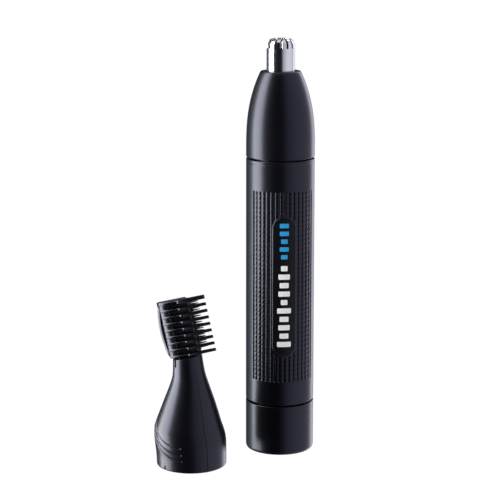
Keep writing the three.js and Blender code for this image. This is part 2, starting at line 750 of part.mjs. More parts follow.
function eyebrowBody() {
  const outside = flask(0, 0, FLASK_HEIGHT, 12);
  const socket = disc(SOCKET_RADIUS, -1, PLATE_TOP + STACK);
  const cavity = flask(EYEBROW_WALL, PLATE_TOP, FLASK_HEIGHT + 0.5, 6);
  const reach = 30;
  const above = block([-reach, -reach, NECK_CUT], [reach, reach, 2 * reach]).rotateY(-radians(BLADE_TILT));
  const notches = RIM_NOTCHES.map((angle) =>
    block([8, -NOTCH_WIDTH / 2, -1], [14, NOTCH_WIDTH / 2, NOTCH_HEIGHT]).rotateZ(radians(angle)),
  );
  const halfGroove = KEY_WIDTH / 2 + FIT;
  const keyGroove = block([-halfGroove, 0, -1], [halfGroove, NECK_RADIUS + KEY_HEIGHT + 0.1, PLATE_BOTTOM]);
  const combSlot = block([-7, -3.9, 33.7], [-3.4, -3.0, 35.5]);
  return cut(outside, socket, cavity, above, keyGroove, combSlot, ...notches);
}

function eyebrowShell(side) {
  const angle = side > 0 ? PARTING_ANGLE : PARTING_ANGLE + 180;
  return common(eyebrowBody(), halfSpace(angle, PARTING_GAP));
}

function drivePlate() {
  return ring(SOCKET_RADIUS - 0.15, 3.45, PLATE_BOTTOM, PLATE_TOP, 36);
}

const CAM_TOP = 18.2;
const CAM_RADIUS = 4.4;
const CAM_SLOPE = 9; // degrees
const CAM_MOUTH = 0.7;

// A drive cup with a drum on top whose upper face is slanted, so it lifts and lowers the push rod.
function slantCam() {
  const cup = driveCup(CAM_MOUTH, PLATE_TOP + 1);
  const drum = disc(CAM_RADIUS, PLATE_TOP + FIT, CAM_TOP + 3, 36);
  const reach = 12;
  const slant = block([-reach, -reach, 0], [reach, reach, reach])
    .rotateY(-radians(CAM_SLOPE))
    .translate(0, 0, CAM_TOP);
  return cut(join(cup, drum), slant);
}

place(eyebrow, "eyebrow_shell_left", eyebrowShell(-1), plastic());
place(eyebrow, "eyebrow_shell_right", eyebrowShell(1), plastic());
place(eyebrow, "drive_plate", drivePlate(), nylon());
place(eyebrow, "slant_cam", slantCam(), material(WHITE_NYLON, 0.5));

// ---------- eyebrow head: blades ----------
// In the leaning frame, X runs from the closed side of the comb to the teeth, and Z along the blades.

const BLADE_BOTTOM = 37.2;
const BLADE_TOP = 54.0;
const TOOTH_PITCH = 1.05;
const ROD_PLACE = 7.3;
const ROD_RADIUS = 0.9;
const ROD_BOTTOM = 19.4;
const ROD_TOP = 34.2;
const SCREW_PLACE = 5.7;
const SCREW_INSET = 3.2; // from each end of the blade
const BLADE_THICKNESS = 0.5;
const HOLDER_LEFT = 3.8;
const HOLDER_FRONT = -1.9;
const HOLDER_BACK = 1.95;
const HOLDER_BOTTOM = BLADE_BOTTOM - 0.8;

// A blade outline with pointed teeth along its +X edge.
function toothedOutline(leftEdge, root, tip, bottom, top) {
  const outline = [[leftEdge, bottom], [root, bottom]];
  const count = Math.floor((top - bottom) / TOOTH_PITCH);
  const start = (top + bottom - count * TOOTH_PITCH) / 2;
  for (let i = 0; i < count; i += 1) {
    const base = start + i * TOOTH_PITCH;
    outline.push([root, base + 0.15 * TOOTH_PITCH]);
    outline.push([tip, base + 0.4 * TOOTH_PITCH]);
    outline.push([tip, base + 0.6 * TOOTH_PITCH]);
    outline.push([root, base + 0.85 * TOOTH_PITCH]);
  }
  outline.push([root, top], [leftEdge, top]);
  return outline;
}

// Round holes along Y for the two blade screws.
function screwHoles(radius, front, back) {
  return [BLADE_BOTTOM + SCREW_INSET, BLADE_TOP - SCREW_INSET].map((height) =>
    disc(radius, -back, -front, 12).rotateX(Math.PI / 2).translate(SCREW_PLACE, 0, height),
  );
}

function fixedBlade() {
  const outline = toothedOutline(4.4, 11.6, 13.8, BLADE_BOTTOM, BLADE_TOP);
  return cut(plate(outline, 0.1, 0.1 + BLADE_THICKNESS), ...screwHoles(0.8, -1, 2));
}

function movingBlade() {
  const teeth = plate(toothedOutline(6.6, 11.4, 13.4, BLADE_BOTTOM + 0.4, BLADE_TOP - 0.6), -0.6, -0.1);
  const tang = block([ROD_PLACE - 0.9, -0.6, ROD_TOP + STACK], [ROD_PLACE + 0.9, -0.1, BLADE_BOTTOM + 1]);
  return join(teeth, tang);
}

const ROD_FOOT_RADIUS = 1.8;
const ROD_FOOT_HEIGHT = 1.0;
const GUIDE_BOTTOM = 27.2; // the block on the carrier's stem that the rod slides in
const GUIDE_TOP = 30.1;

function pushRod() {
  const rod = disc(ROD_RADIUS, ROD_BOTTOM, ROD_TOP, 16);
  const foot = disc(ROD_FOOT_RADIUS, ROD_BOTTOM, ROD_BOTTOM + ROD_FOOT_HEIGHT, 16);
  return join(rod, foot).translate(ROD_PLACE, 0, 0);
}

const SPRING_CLEARANCE = 0.12; // the leaning spring shortens straight upwards, so its foot needs a little room

function returnSpring() {
  const bottom = ROD_BOTTOM + ROD_FOOT_HEIGHT + SPRING_CLEARANCE;
  return coilSpring(1.45, 0.4, bottom, GUIDE_BOTTOM - STACK, 4).translate(ROD_PLACE, 0, 0);
}

// The back half of the blade holder: a tongue with a stem that the two shells clamp.
function bladeCarrier() {
  const tongue = block([HOLDER_LEFT, 0.7, HOLDER_BOTTOM], [11.2, HOLDER_BACK, BLADE_TOP]);
  const wall = block([HOLDER_LEFT, -0.6, HOLDER_BOTTOM], [HOLDER_LEFT + 0.5, 1, BLADE_TOP]);
  const stem = block([4.8, 1.15, GUIDE_BOTTOM], [8.9, HOLDER_BACK, BLADE_BOTTOM]);
  const guide = block([5.2, -1.6, GUIDE_BOTTOM], [8.9, HOLDER_BACK, GUIDE_TOP]);
  const rodHole = disc(ROD_RADIUS + FIT, GUIDE_BOTTOM - 1, GUIDE_TOP + 1, 16).translate(ROD_PLACE, 0, 0);
  return cut(join(tongue, wall, stem, guide), rodHole, ...screwHoles(0.65, -1, 1.6));
}

function bladeCover() {
  const face = block([HOLDER_LEFT, HOLDER_FRONT, HOLDER_BOTTOM], [10.8, -0.7, BLADE_TOP]);
  return cut(face, ...screwHoles(0.8, -3, 0));
}

function bladeScrew(height) {
  const shank = disc(0.6, -1.5, 2.0, 12);
  const head = disc(1.2, 2.0, 2.15, 16);
  return join(shank, head).rotateX(Math.PI / 2).translate(SCREW_PLACE, 0, height);
}

place(blades, "fixed_blade", fixedBlade(), steel());
place(blades, "moving_blade", movingBlade(), steel());
place(blades, "push_rod", pushRod(), material(WHITE_NYLON, 0.5));
place(blades, "return_spring", returnSpring(), springSteel());
place(blades, "blade_carrier", bladeCarrier(), nylon());
place(blades, "blade_cover", bladeCover(), nylon());
place(blades, "blade_screw_lower", bladeScrew(BLADE_BOTTOM + SCREW_INSET), steel());
place(blades, "blade_screw_upper", bladeScrew(BLADE_TOP - SCREW_INSET), steel());

// ---------- comb guide ----------

const RIB_THICKNESS = 1.0;
const TOP_RIB_EXTRA = 0.35; // the highest rib is thicker than the rest
const FIRST_RIB = 37.0;
const COMB_BOTTOM = FIRST_RIB - RIB_THICKNESS / 2;
const COMB_TOP = FIRST_RIB + (COMB_RIBS - 1) * COMB_PITCH + RIB_THICKNESS / 2;
const RIB_TIP = 16.4;
const RIB_CREASE = 7.9;

// One rib seen from above: from the closed side, round the crease, out to its tip.
const RIB_OUTLINE = [
  [1.9, -0.9],
  [1.2, -1.4],
  [2.2, -2.5],
  [4.6, -3.5],
  [RIB_CREASE, -3.95],
  [RIB_TIP - 0.4, -3.35],
  [RIB_TIP, -2.95],
  [RIB_TIP - 0.4, -2.55],
  [RIB_CREASE, -2.5],
  [4.0, -2.35],
];
const CLOSED_SIDE = [[1.2, -1.4], [1.9, -0.9], [0.9, 2.9], [-0.1, 2.9]];
const BOTTOM_END = [[1.2, -1.4], [2.2, -2.5], [3.6, -2.6], [3.6, 2.5], [0.2, 2.9]];
const FRONT_RAIL = [
  [1.2, -1.4],
  [2.2, -2.4],
  [3.9, -3.0],
  [3.9, -2.6],
  [2.6, -1.7],
  [1.75, -0.6],
  [1.0, -0.8],
];
const BACK_FRONT = 2.3;
const BACK_REAR = 3.1;
const BACK_RIGHT = 9.6;
const TOP_PLATE = [
  [1.2, -1.4],
  [2.2, -2.5],
  [4.6, -3.5],
  [RIB_CREASE, -3.95],
  [11.0, -3.6],
  [BACK_RIGHT, BACK_REAR],
  [0.6, BACK_REAR],
];
const END_THICKNESS = 1.2;
const CORNER_DEPTH = 1.6;
const TOP_SLOPE = 7; // degrees that the top falls towards the back
const SLOPE_START = -1; // the top is level in front of this line
const REACH = 20; // longer than the comb in every direction

// Where the free edge of the back wall lies: it bows outwards between its two ends.
function bowedEdge(along) {
  const bottom = 0.15;
  const middle = -0.8;
  const top = 0.65;
  const bend = 2 * (bottom + top - 2 * middle);
  return bottom + (top - bottom - bend) * along + bend * along * along;
}

function backWall() {
  const outline = [];
  const steps = 8;
  for (let i = 0; i <= steps; i += 1) {
    outline.push([bowedEdge(i / steps), THREE.MathUtils.lerp(COMB_BOTTOM, COMB_TOP, i / steps)]);
  }
  outline.push([BACK_RIGHT, COMB_TOP], [BACK_RIGHT, COMB_BOTTOM]);
  return plate(outline, BACK_FRONT, BACK_REAR);
}

function combGuide() {
  const pieces = [];
  for (let i = 0; i < COMB_RIBS; i += 1) {
    const middle = FIRST_RIB + i * COMB_PITCH;
    const extra = i === COMB_RIBS - 1 ? TOP_RIB_EXTRA : 0;
    pieces.push(prism(RIB_OUTLINE, middle - RIB_THICKNESS / 2, middle + RIB_THICKNESS / 2 + extra));
  }
  pieces.push(prism(FRONT_RAIL, COMB_BOTTOM, COMB_TOP));
  pieces.push(backWall());
  pieces.push(prism(BOTTOM_END, COMB_BOTTOM, COMB_BOTTOM + END_THICKNESS));
  pieces.push(prism(CLOSED_SIDE, COMB_TOP - CORNER_DEPTH, COMB_TOP));
  pieces.push(prism(TOP_PLATE, COMB_TOP - RIB_THICKNESS, COMB_TOP));
  const slope = block([-REACH, 0, 0], [REACH, REACH, REACH]).rotateX(-radians(TOP_SLOPE));
  return cut(join(...pieces), slope.translate(0, SLOPE_START, COMB_TOP));
}

place(blades, "comb_guide", combGuide(), plastic());

const part = new THREE.Group();
part.add(trimmer, eyebrow);
export default part;
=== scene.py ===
"""Looks of a pen-shaped nose hair trimmer and its eyebrow head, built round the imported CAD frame.

Sizes are in millimetres and become metres as a piece is made. +Z is up and the badge faces -Y.
"""

import math

import bmesh
import bpy
from mathutils import Matrix, Vector


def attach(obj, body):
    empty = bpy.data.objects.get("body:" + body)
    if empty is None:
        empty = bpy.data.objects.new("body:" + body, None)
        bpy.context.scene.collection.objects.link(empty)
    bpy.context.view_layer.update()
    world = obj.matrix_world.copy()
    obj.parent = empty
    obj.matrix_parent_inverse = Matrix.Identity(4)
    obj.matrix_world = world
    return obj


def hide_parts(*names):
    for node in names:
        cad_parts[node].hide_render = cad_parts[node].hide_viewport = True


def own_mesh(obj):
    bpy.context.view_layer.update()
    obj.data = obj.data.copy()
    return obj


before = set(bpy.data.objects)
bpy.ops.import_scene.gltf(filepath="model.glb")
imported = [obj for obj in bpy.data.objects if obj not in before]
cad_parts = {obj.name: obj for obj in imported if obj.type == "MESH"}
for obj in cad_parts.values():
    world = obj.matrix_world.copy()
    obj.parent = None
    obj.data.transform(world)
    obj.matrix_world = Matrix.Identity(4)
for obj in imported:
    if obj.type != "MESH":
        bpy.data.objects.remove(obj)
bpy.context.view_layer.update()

MM = 0.001

# ---------- driving dimensions ----------

BASE_RADIUS = 11.45
TOP_RADIUS = 11.35
BORE_RADIUS = 9.6
CAP_TOP = 16.7
HANDLE_BOTTOM = 17.3
HANDLE_TOP = 99.2
COVER_BOTTOM = 99.8
COVER_TOP = 127.9
COVER_RIM_RADIUS = 6.6
TUBE_RADIUS = 4.65
TUBE_TOP = 138.5
NECK_RADIUS = 8.9
SOCKET_RADIUS = 9.25

BLADE_TILT = math.radians(11.8)
EYEBROW = Matrix.Translation((-31.3, -15.3, 0)) @ Matrix.Rotation(math.radians(-6), 4, "Z")
BLADES = EYEBROW @ Matrix.Rotation(-BLADE_TILT, 4, "Y")


# ---------- shapes ----------

def lerp(a, b, t):
    return a + (b - a) * t


def spread(start, end, steps):
    """Evenly spaced values from start to end, both included."""
    return [lerp(start, end, i / steps) for i in range(steps + 1)]


def rounded_corner(before, corner, after, fillet):
    """The arc that rounds a corner, with a support point just outside each of its ends."""
    before, corner, after = Vector(before), Vector(corner), Vector(after)
    into, out = corner - before, after - corner
    room = min(into.length, out.length)
    into.normalize()
    out.normalize()
    turn = into.angle(out)
    if turn < 0.05:
        return [corner]
    reach = min(fillet * math.tan(turn / 2), 0.4 * room)
    radius = reach / math.tan(turn / 2)
    centre = corner + (out - into).normalized() * (radius / math.cos(turn / 2))
    first, last = corner - into * reach - centre, corner + out * reach - centre
    steps = max(2, round(math.degrees(turn) / 20))
    arc = []
    for i in range(steps + 1):
        t = i / steps
        way = first * math.sin((1 - t) * turn) + last * math.sin(t * turn)
        arc.append(centre + way / math.sin(turn))
    support = min(0.5 * reach, 0.08 * room)
    return [arc[0] - into * support, *arc, arc[-1] + out * support]


def profile(corners, closed=False):
    """Points of a profile whose corners are (radius, height) or (radius, height, fillet)."""
    points = []
    count = len(corners)
    for i, corner in enumerate(corners):
        inside = closed or 0 < i < count - 1
        if len(corner) == 3 and inside:
            before, after = corners[i - 1][:2], corners[(i + 1) % count][:2]
            points += rounded_corner(before, corner[:2], after, corner[2])
        else:
            points.append(Vector(corner[:2]))
    return points


def turned(points, segments=96, closed=False):
    """Turns (radius, height) points about Z. Points on the axis become one vertex."""
    vertices, rings, faces = [], [], []
    for radius, height in points:
        if radius < 1e-6:
            rings.append([len(vertices)] * segments)
            vertices.append((0, 0, height))
            continue
        rings.append([len(vertices) + k for k in range(segments)])
        for k in range(segments):
            angle = 2 * math.pi * k / segments
            vertices.append((radius * math.cos(angle), radius * math.sin(angle), height))
    pairs = list(zip(rings, rings[1:])) + ([(rings[-1], rings[0])] if closed else [])
    for low, high in pairs:
        for k in range(segments):
            following = (k + 1) % segments
            corners = [low[k], low[following], high[following], high[k]]
            face = [c for i, c in enumerate(corners) if c != corners[i - 1]]
            if len(face) > 2:
                faces.append(face)
    return vertices, faces


def prism(outline, bottom, top):
    """An outline of (x, y) points pulled up from one height to another."""
    count = len(outline)
    vertices = [(x, y, bottom) for x, y in outline] + [(x, y, top) for x, y in outline]
    faces = [list(range(count))[::-1], list(range(count, 2 * count))]
    for i in range(count):
        j = (i + 1) % count
        faces.append([i, j, count + j, count + i])
    return vertices, faces


def plate(outline, front, back):
    """A plate drawn in X and Z, with its thickness along Y."""
    vertices, faces = prism(outline, front, back)
    return [(x, y, z) for x, z, y in vertices], faces


def block(low, high):
    (x0, y0, z0), (x1, y1, z1) = low, high
    return prism([(x0, y0), (x1, y0), (x1, y1), (x0, y1)], z0, z1)


def ring_slice(outer, inner, bottom, top, start, end, steps=12):
    """A slice of a ring between two angles in degrees."""
    angles = [math.radians(a) for a in spread(start, end, steps)]
    outline = [(outer * math.cos(a), outer * math.sin(a)) for a in angles]
    outline += [(inner * math.cos(a), inner * math.sin(a)) for a in reversed(angles)]
    return prism(outline, bottom, top)


def band_faces(rows, count, closed=False):
    """Faces between neighbouring rings of points, and from the last ring to the first if closed."""
    faces = []
    for row in range(rows if closed else rows - 1):
        low, high = row * count, (row + 1) % rows * count
        for k in range(count):
            following = (k + 1) % count
            faces.append([low + k, low + following, high + following, high + k])
    return faces


def lofted(sections):
    """A closed form through outlines that have the same number of points, capped at both ends."""
    count = len(sections[0])
    vertices = [point for section in sections for point in section]
    last = len(vertices) - count
    caps = [list(range(count))[::-1], list(range(last, last + count))]
    return vertices, caps + band_faces(len(sections), count)


def tube(points, radius, sides=10):
    """A round rod along a line of points, with flat ends."""
    points = [Vector(p) for p in points]
    sections = []
    normal = Vector((0, 0, 1))
    for i, point in enumerate(points):
        along = (points[min(i + 1, len(points) - 1)] - points[max(i - 1, 0)]).normalized()
        normal = (normal - along * normal.dot(along)).normalized()
        side = along.cross(normal)
        turns = [2 * math.pi * k / sides for k in range(sides)]
        sections.append([point + (normal * math.cos(t) + side * math.sin(t)) * radius for t in turns])
    return lofted(sections)


def round_section(radius, height, half):
    """The round section of a rubber ring, as (radius, height) points."""
    angles = spread(0, 2 * math.pi, 16)[:-1]
    return [(radius + half * math.cos(a), height + half * math.sin(a)) for a in angles]


def coil(radius, wire, bottom, top, turns, steps=28):
    """A compression spring with a nearly flat coil at each end."""
    count = turns * steps
    low, high = bottom + wire / 2, top - wire / 2
    points = []
    for i in range(count + 1):
        t = i / count
        height = lerp(low, high, t * t * (3 - 2 * t))
        angle = 2 * math.pi * turns * t
        points.append((radius * math.cos(angle), radius * math.sin(angle), height))
    return tube(points, wire / 2)


def thickened(outer, inner, faces):
    """A closed wall between two sheets of the same faces. Points that lie together are joined."""
    index, keep, order = {}, [], []
    for a, b in zip(outer, inner):
        key = tuple(round(c, 4) for c in a) + tuple(round(c, 4) for c in b)
        if key not in index:
            index[key] = len(keep)
            keep.append((a, b))
        order.append(index[key])
    count = len(keep)
    vertices = [a for a, _ in keep] + [b for _, b in keep]
    sheet, edges = [], {}
    for face in faces:
        joined = [order[i] for i in face]
        joined = [c for i, c in enumerate(joined) if c != joined[i - 1]]
        if len(joined) < 3:
            continue
        sheet.append(joined)
        for i, c in enumerate(joined):
            edge = (joined[i - 1], c)
            edges[edge] = edges.get(edge, 0) + 1
    walls = [[b, a, a + count, b + count] for a, b in edges if (b, a) not in edges]
    back = [[i + count for i in reversed(face)] for face in sheet]
    return vertices, sheet + back + walls


def softened(outline):
    """An outline with its corners cut off."""
    cut = []
    for i, (x, y) in enumerate(outline):
        nx, ny = outline[(i + 1) % len(outline)]
        cut += [(lerp(x, nx, t), lerp(y, ny, t)) for t in (0.25, 0.75)]
    return cut


def moved(form, place):
    vertices, faces = form
    return [place @ Vector(v) for v in vertices], faces


def piece(name, forms, body, look, replaces=(), place=None, bevel=0.0, sharp=32):
    """One object from one or more closed forms. It rides on a CAD body and may stand for CAD nodes."""
    place = place or Matrix.Identity(4)
    vertices, faces = [], []
    for form_vertices, form_faces in forms:
        start = len(vertices)
        vertices += [(place @ Vector(v)) * MM for v in form_vertices]
        faces += [[i + start for i in face] for face in form_faces]
    mesh = bpy.data.meshes.new(name)
    mesh.from_pydata(vertices, [], faces)
    work = bmesh.new()
    work.from_mesh(mesh)
    bmesh.ops.recalc_face_normals(work, faces=work.faces)
    work.to_mesh(mesh)
    work.free()
    mesh.materials.append(look)
    mesh.shade_smooth()
    made = bpy.data.objects.new(name, mesh)
    bpy.context.scene.collection.objects.link(made)
    if bevel:
        edges = made.modifiers.new("rounded edges", "BEVEL")
        edges.width = bevel * MM
        edges.segments = 2
        edges.limit_method = "ANGLE"
        edges.angle_limit = math.radians(sharp)
        edges.harden_normals = True
    else:
        mesh.set_sharp_from_angle(angle=math.radians(sharp))
    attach(made, body)
    if replaces:
        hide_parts(*replaces)
    return made


# ---------- materials ----------

BROAD_GRAIN = 6.0  # the size of the soft patches in every finish


def set_inputs(made, **inputs):
    """An underscore in a keyword stands for a space in the input's name."""
    for key, value in inputs.items():
        made.inputs[key.replace("_", " ")].default_value = value


def node(tree, kind, **inputs):
    made = tree.nodes.new("ShaderNode" + kind)
    set_inputs(made, **inputs)
    return made


def colour_mix(tree, factor, first, second, blend="MIX"):
    """A blend of two colours. Each input is another node's output or a plain value."""
    made = node(tree, "Mix")
    made.data_type = "RGBA"
    made.blend_type = blend
    colours = [socket for socket in made.inputs if socket.type == "RGBA"]
    for socket, source in zip([made.inputs["Factor"], *colours], (factor, first, second)):
        if isinstance(source, bpy.types.NodeSocket):
            tree.links.new(source, socket)
        else:
            socket.default_value = source
    return next(socket for socket in made.outputs if socket.type == "RGBA")


def finish_of(name, colour, roughness, metallic=0.0, grain=0.15, depth=0.002, stretch=(1, 1, 1),
              mottle=0.06, uneven=0.05, tint=None, coat=0.0, ior=1.5):
    """A moulded, drawn or turned finish: grain is its feature size and depth its bump, in millimetres."""
    look = bpy.data.materials.new(name)
    look.use_nodes = True
    look.diffuse_color = (*colour, 1)
    tree = look.node_tree
    tree.nodes.clear()
    link = tree.links.new
    out = node(tree, "OutputMaterial")
    shader = node(tree, "BsdfPrincipled", Metallic=metallic, IOR=ior)
    if tint:
        set_inputs(shader, Specular_Tint=(*tint, 1))
    if coat:
        set_inputs(shader, Coat_Weight=coat, Coat_Roughness=0.08)
    link(shader.outputs[0], out.inputs[0])
    place = node(tree, "TexCoord")
    scale = node(tree, "Mapping", Scale=stretch)
    link(place.outputs["Object"], scale.inputs[0])
    fine = node(tree, "TexNoise", Scale=1 / (grain * MM), Detail=3.0, Roughness=0.6)
    broad = node(tree, "TexNoise", Scale=1 / (BROAD_GRAIN * MM), Detail=4.0, Roughness=0.55)
    link(scale.outputs[0], fine.inputs[0])
    link(place.outputs["Object"], broad.inputs[0])

    shade = node(tree, "MapRange", To_Min=1 - mottle, To_Max=1 + mottle)
    link(broad.outputs[0], shade.inputs[0])
    painted = colour_mix(tree, 1, (*colour, 1), shade.outputs[0], "MULTIPLY")
    link(painted, shader.inputs["Base Color"])

    wear = node(tree, "Mix", Factor=0.5)
    link(broad.outputs[0], wear.inputs["A"])
    link(fine.outputs[0], wear.inputs["B"])
    gloss = node(tree, "MapRange", From_Min=0.3, From_Max=0.7, To_Min=max(0.02, roughness - uneven),
                 To_Max=roughness + uneven)
    link(wear.outputs["Result"], gloss.inputs[0])
    link(gloss.outputs[0], shader.inputs["Roughness"])
    bump = node(tree, "Bump", Strength=1.0, Distance=depth * MM)
    link(fine.outputs[0], bump.inputs["Height"])
    link(bump.outputs[0], shader.inputs["Normal"])
    return look


BLACK = (0.0012, 0.0012, 0.0018)
BLUE_SHEEN = (0.92, 0.93, 1.27)
SATIN_IOR = 1.41
STEEL_EDGE = (0.2, 0.2, 0.22)
black_plastic = finish_of("satin black plastic", BLACK, 0.31, grain=0.22, depth=0.0006, mottle=0.12,
                          uneven=0.02, tint=BLUE_SHEEN, ior=SATIN_IOR)
gloss_plastic = finish_of("comb black plastic", BLACK, 0.27, grain=0.25, depth=0.0008, mottle=0.1,
                          uneven=0.02, tint=BLUE_SHEEN, ior=SATIN_IOR)
badge_black = finish_of("matt badge", (0.0028, 0.0026, 0.0045), 0.4, grain=0.12, depth=0.001, mottle=0.08,
                        uneven=0.04, ior=1.28)
white_print = finish_of("white print", (0.86, 0.86, 0.87), 0.45, grain=0.1, depth=0.001, mottle=0.02)
blue_print = finish_of("blue print", (0.004, 0.30, 0.66), 0.45, grain=0.1, depth=0.001, mottle=0.03)
dark_nylon = finish_of("dark nylon", (0.012, 0.012, 0.015), 0.42, grain=0.3, depth=0.006, mottle=0.15,
                       uneven=0.06)
white_nylon = finish_of("natural nylon", (0.72, 0.70, 0.64), 0.42, grain=0.3, depth=0.004, mottle=0.04)
polished_steel = finish_of("polished steel", (0.66, 0.66, 0.68), 0.15, metallic=1.0, grain=0.09,
                           depth=0.0004, stretch=(1, 1, 9), mottle=0.03, uneven=0.02, tint=STEEL_EDGE)
# The rotor steel is painted far darker than steel. This is painted shade inside the slotted tube, so that the
# slots read dark.
rotor_steel_painted_shade = finish_of("rotor steel darkened as painted shade", (0.16, 0.16, 0.17), 0.5, metallic=1.0, depth=0.004, mottle=0.2,
                       uneven=0.08)
ground_steel = finish_of("ground blade steel", (0.60, 0.60, 0.62), 0.22, metallic=1.0, grain=0.12,
                         stretch=(1, 6, 1), mottle=0.05)
plain_steel = finish_of("plated steel", (0.52, 0.52, 0.54), 0.28, metallic=1.0)
brass = finish_of("brass strip", (0.72, 0.52, 0.22), 0.26, metallic=1.0, mottle=0.08, uneven=0.06)
rubber = finish_of("nitrile rubber", (0.010, 0.010, 0.011), 0.6, grain=0.12, depth=0.004, mottle=0.2,
                   uneven=0.06)
wrap_green = finish_of("battery wrap", (0.030, 0.135, 0.075), 0.3, grain=0.2, depth=0.001, uneven=0.03,
                       coat=0.4)
wrap_band = finish_of("battery wrap band", (0.36, 0.36, 0.37), 0.3, metallic=0.6, grain=0.2, depth=0.001,
                      uneven=0.03, coat=0.4)

# ---------- battery cap ----------

COLLAR_RADIUS = 9.3
CAP_PROFILE = [
    (0, 0), (11.15, 0, 1.0), (BASE_RADIUS, 0.9, 0.8), (BASE_RADIUS, CAP_TOP, 0.22),
    (COLLAR_RADIUS, CAP_TOP, 0.1), (COLLAR_RADIUS, 17.45, 0.06), (8.5, 17.45, 0.06), (8.5, 18.55, 0.06),
    (COLLAR_RADIUS, 18.55, 0.06), (COLLAR_RADIUS, 22.5, 0.3), (8.3, 22.5, 0.12), (8.3, 1.8, 0.4), (0, 1.8),
]
LUG_ANGLES = (90, 210, 330)
LUG_HALF = 11  # degrees
LUG_BOTTOM = 19.3
LUG_TOP = 20.7
cap_forms = [turned(profile(CAP_PROFILE), 128)]
for lug in LUG_ANGLES:
    cap_forms.append(ring_slice(COLLAR_RADIUS + 0.85, COLLAR_RADIUS - 0.4, LUG_BOTTOM, LUG_TOP,
                                lug - LUG_HALF, lug + LUG_HALF))
piece("cap_body", cap_forms, "cap", black_plastic, ["battery_cap"])

seal = turned(round_section(9.05, 18.0, 0.45), 96, closed=True)
piece("cap_seal", [seal], "cap", rubber, ["cap_seal_ring"])

CARRIER = [(0, 2.0), (8.0, 2.0, 0.2), (8.0, 4.6, 0.25), (5.2, 4.6, 0.1), (5.2, 3.8, 0.1), (0, 3.8)]
CONTACT = [(0, 3.9), (5.0, 3.9, 0.1), (5.0, 4.3, 0.12), (0, 4.3)]
piece("contact_carrier_disc", [turned(profile(CARRIER), 80)], "base", dark_nylon,
      ["contact_carrier"])
piece("contact_plate", [turned(profile(CONTACT), 64)], "base", brass, ["cap_contact_plate"])
piece("contact_spring", [coil(3.6, 0.8, 4.4, 10.5, 3)], "base", plain_steel, ["cap_spring"])

# ---------- battery ----------

BATTERY = [(0, 10.6), (5.0, 10.6, 0.1), (5.2, 10.75, 0.1), (6.9, 10.75, 0.3), (7.25, 11.1, 0.3)]
WRAP_SPLIT = 47.0
WRAP_TOP = [(7.25, 59.4, 0.3), (6.9, 59.75, 0.2), (4.6, 59.75, 0.1), (4.4, 59.9, 0.1), (0, 59.9)]
wrap_lower = turned(profile(BATTERY + [(7.25, WRAP_SPLIT), (0, WRAP_SPLIT)]), 96)
wrap_upper = turned(profile([(0, WRAP_SPLIT), (7.25, WRAP_SPLIT)] + WRAP_TOP), 96)
piece("battery_wrap_lower", [wrap_lower], "battery", wrap_green, ["aa_battery"])
piece("battery_wrap_upper", [wrap_upper], "battery", wrap_band)
NUB = [(0, 59.92), (3.6, 59.92, 0.1), (3.6, 60.2, 0.15), (2.75, 60.3, 0.2), (2.75, 61.1, 0.35), (0, 61.1)]
piece("battery_nub", [turned(profile(NUB), 64)], "battery", plain_steel,
      ["battery_positive_nub"])

# ---------- handle ----------

GRIP_BOTTOM = 25.4
GRIP_TOP = 89.4
GRIP_COLUMNS = 44
GRIP_ROWS = 41
GRIP_HALF_ANGLE = 58  # degrees: the grip covers the front and the back, and leaves the sides smooth
GROOVE_DEPTH = 0.32
ROW_GROOVE_DEPTH = 0.16
# Across one cell, from one groove's middle to the next: where a sample lies, and its share of the depth.
CELL = [(0.06, 1.0), (0.15, 0.36), (0.26, 0.12), (0.45, 0.0), (0.55, 0.0), (0.74, 0.12), (0.85, 0.36),
        (0.94, 1.0)]

BADGE_BOTTOM = 34.1
BADGE_TOP = 81.3
BADGE_HALF = 3.85
FRAME_WIDTH = 0.42


def handle_radius(height):
    return lerp(BASE_RADIUS, TOP_RADIUS, (height - HANDLE_BOTTOM) / (HANDLE_TOP - HANDLE_BOTTOM))


def outside_badge(x, height):
    """Distance from the badge's outline, negative inside it."""
    nearest = min(max(height, BADGE_BOTTOM + BADGE_HALF), BADGE_TOP - BADGE_HALF)
    return math.hypot(x, height - nearest) - BADGE_HALF


def handle_rows():
    """Each row as (height, inset of the whole row, strength of the column grooves, row groove share)."""
    below = [(HANDLE_BOTTOM, 0.24), (HANDLE_BOTTOM + 0.07, 0.09), (HANDLE_BOTTOM + 0.24, 0)]
    below += [(height, 0) for height in (HANDLE_BOTTOM + 0.45, 20, 22.5, 25.1, GRIP_BOTTOM)]
    above = [(height, 0) for height in (GRIP_TOP, GRIP_TOP + 0.3, 93, 97.5, 97.75)]
    above += [(97.83, 0.06), (97.97, 0.06), (98.05, 0), (98.3, 0), (HANDLE_TOP - 0.4, 0)]
    above += [(HANDLE_TOP - 0.24, 0), (HANDLE_TOP - 0.07, 0.09), (HANDLE_TOP, 0.24)]
    grip = []
    pitch = (GRIP_TOP - GRIP_BOTTOM) / GRIP_ROWS
    for row in range(GRIP_ROWS):
        for at, share in CELL:
            edge = (row == 0 and at < 0.5) or (row == GRIP_ROWS - 1 and at > 0.5)
            fade = 0.5 if edge and abs(at - 0.5) > 0.4 else 1.0
            grip.append((GRIP_BOTTOM + (row + at) * pitch, 0, fade, 0 if edge else share))
    return [(*plain, 0, 0) for plain in below] + grip + [(*plain, 0, 0) for plain in above]


ENTRY_HALF = 13.5  # degrees
CAP_TWIST = 60  # degrees
BAYONET_DEPTH = 0.75


def wrap_angle(degrees):
    return (degrees + 180) % 360 - 180


def bayonet_depth(degrees, height):
    """How far the bore is cut back for the cap's lugs: an upright entry, then a run to the locked place."""
    if not HANDLE_BOTTOM - 0.3 < height < LUG_TOP + 0.25:
        return 0
    for lug in LUG_ANGLES:
        from_entry = wrap_angle(degrees - lug)
        in_run = height > LUG_BOTTOM - 0.25 and -ENTRY_HALF < from_entry < ENTRY_HALF + CAP_TWIST
        if abs(from_entry) < ENTRY_HALF or in_run:
            return BAYONET_DEPTH
    return 0


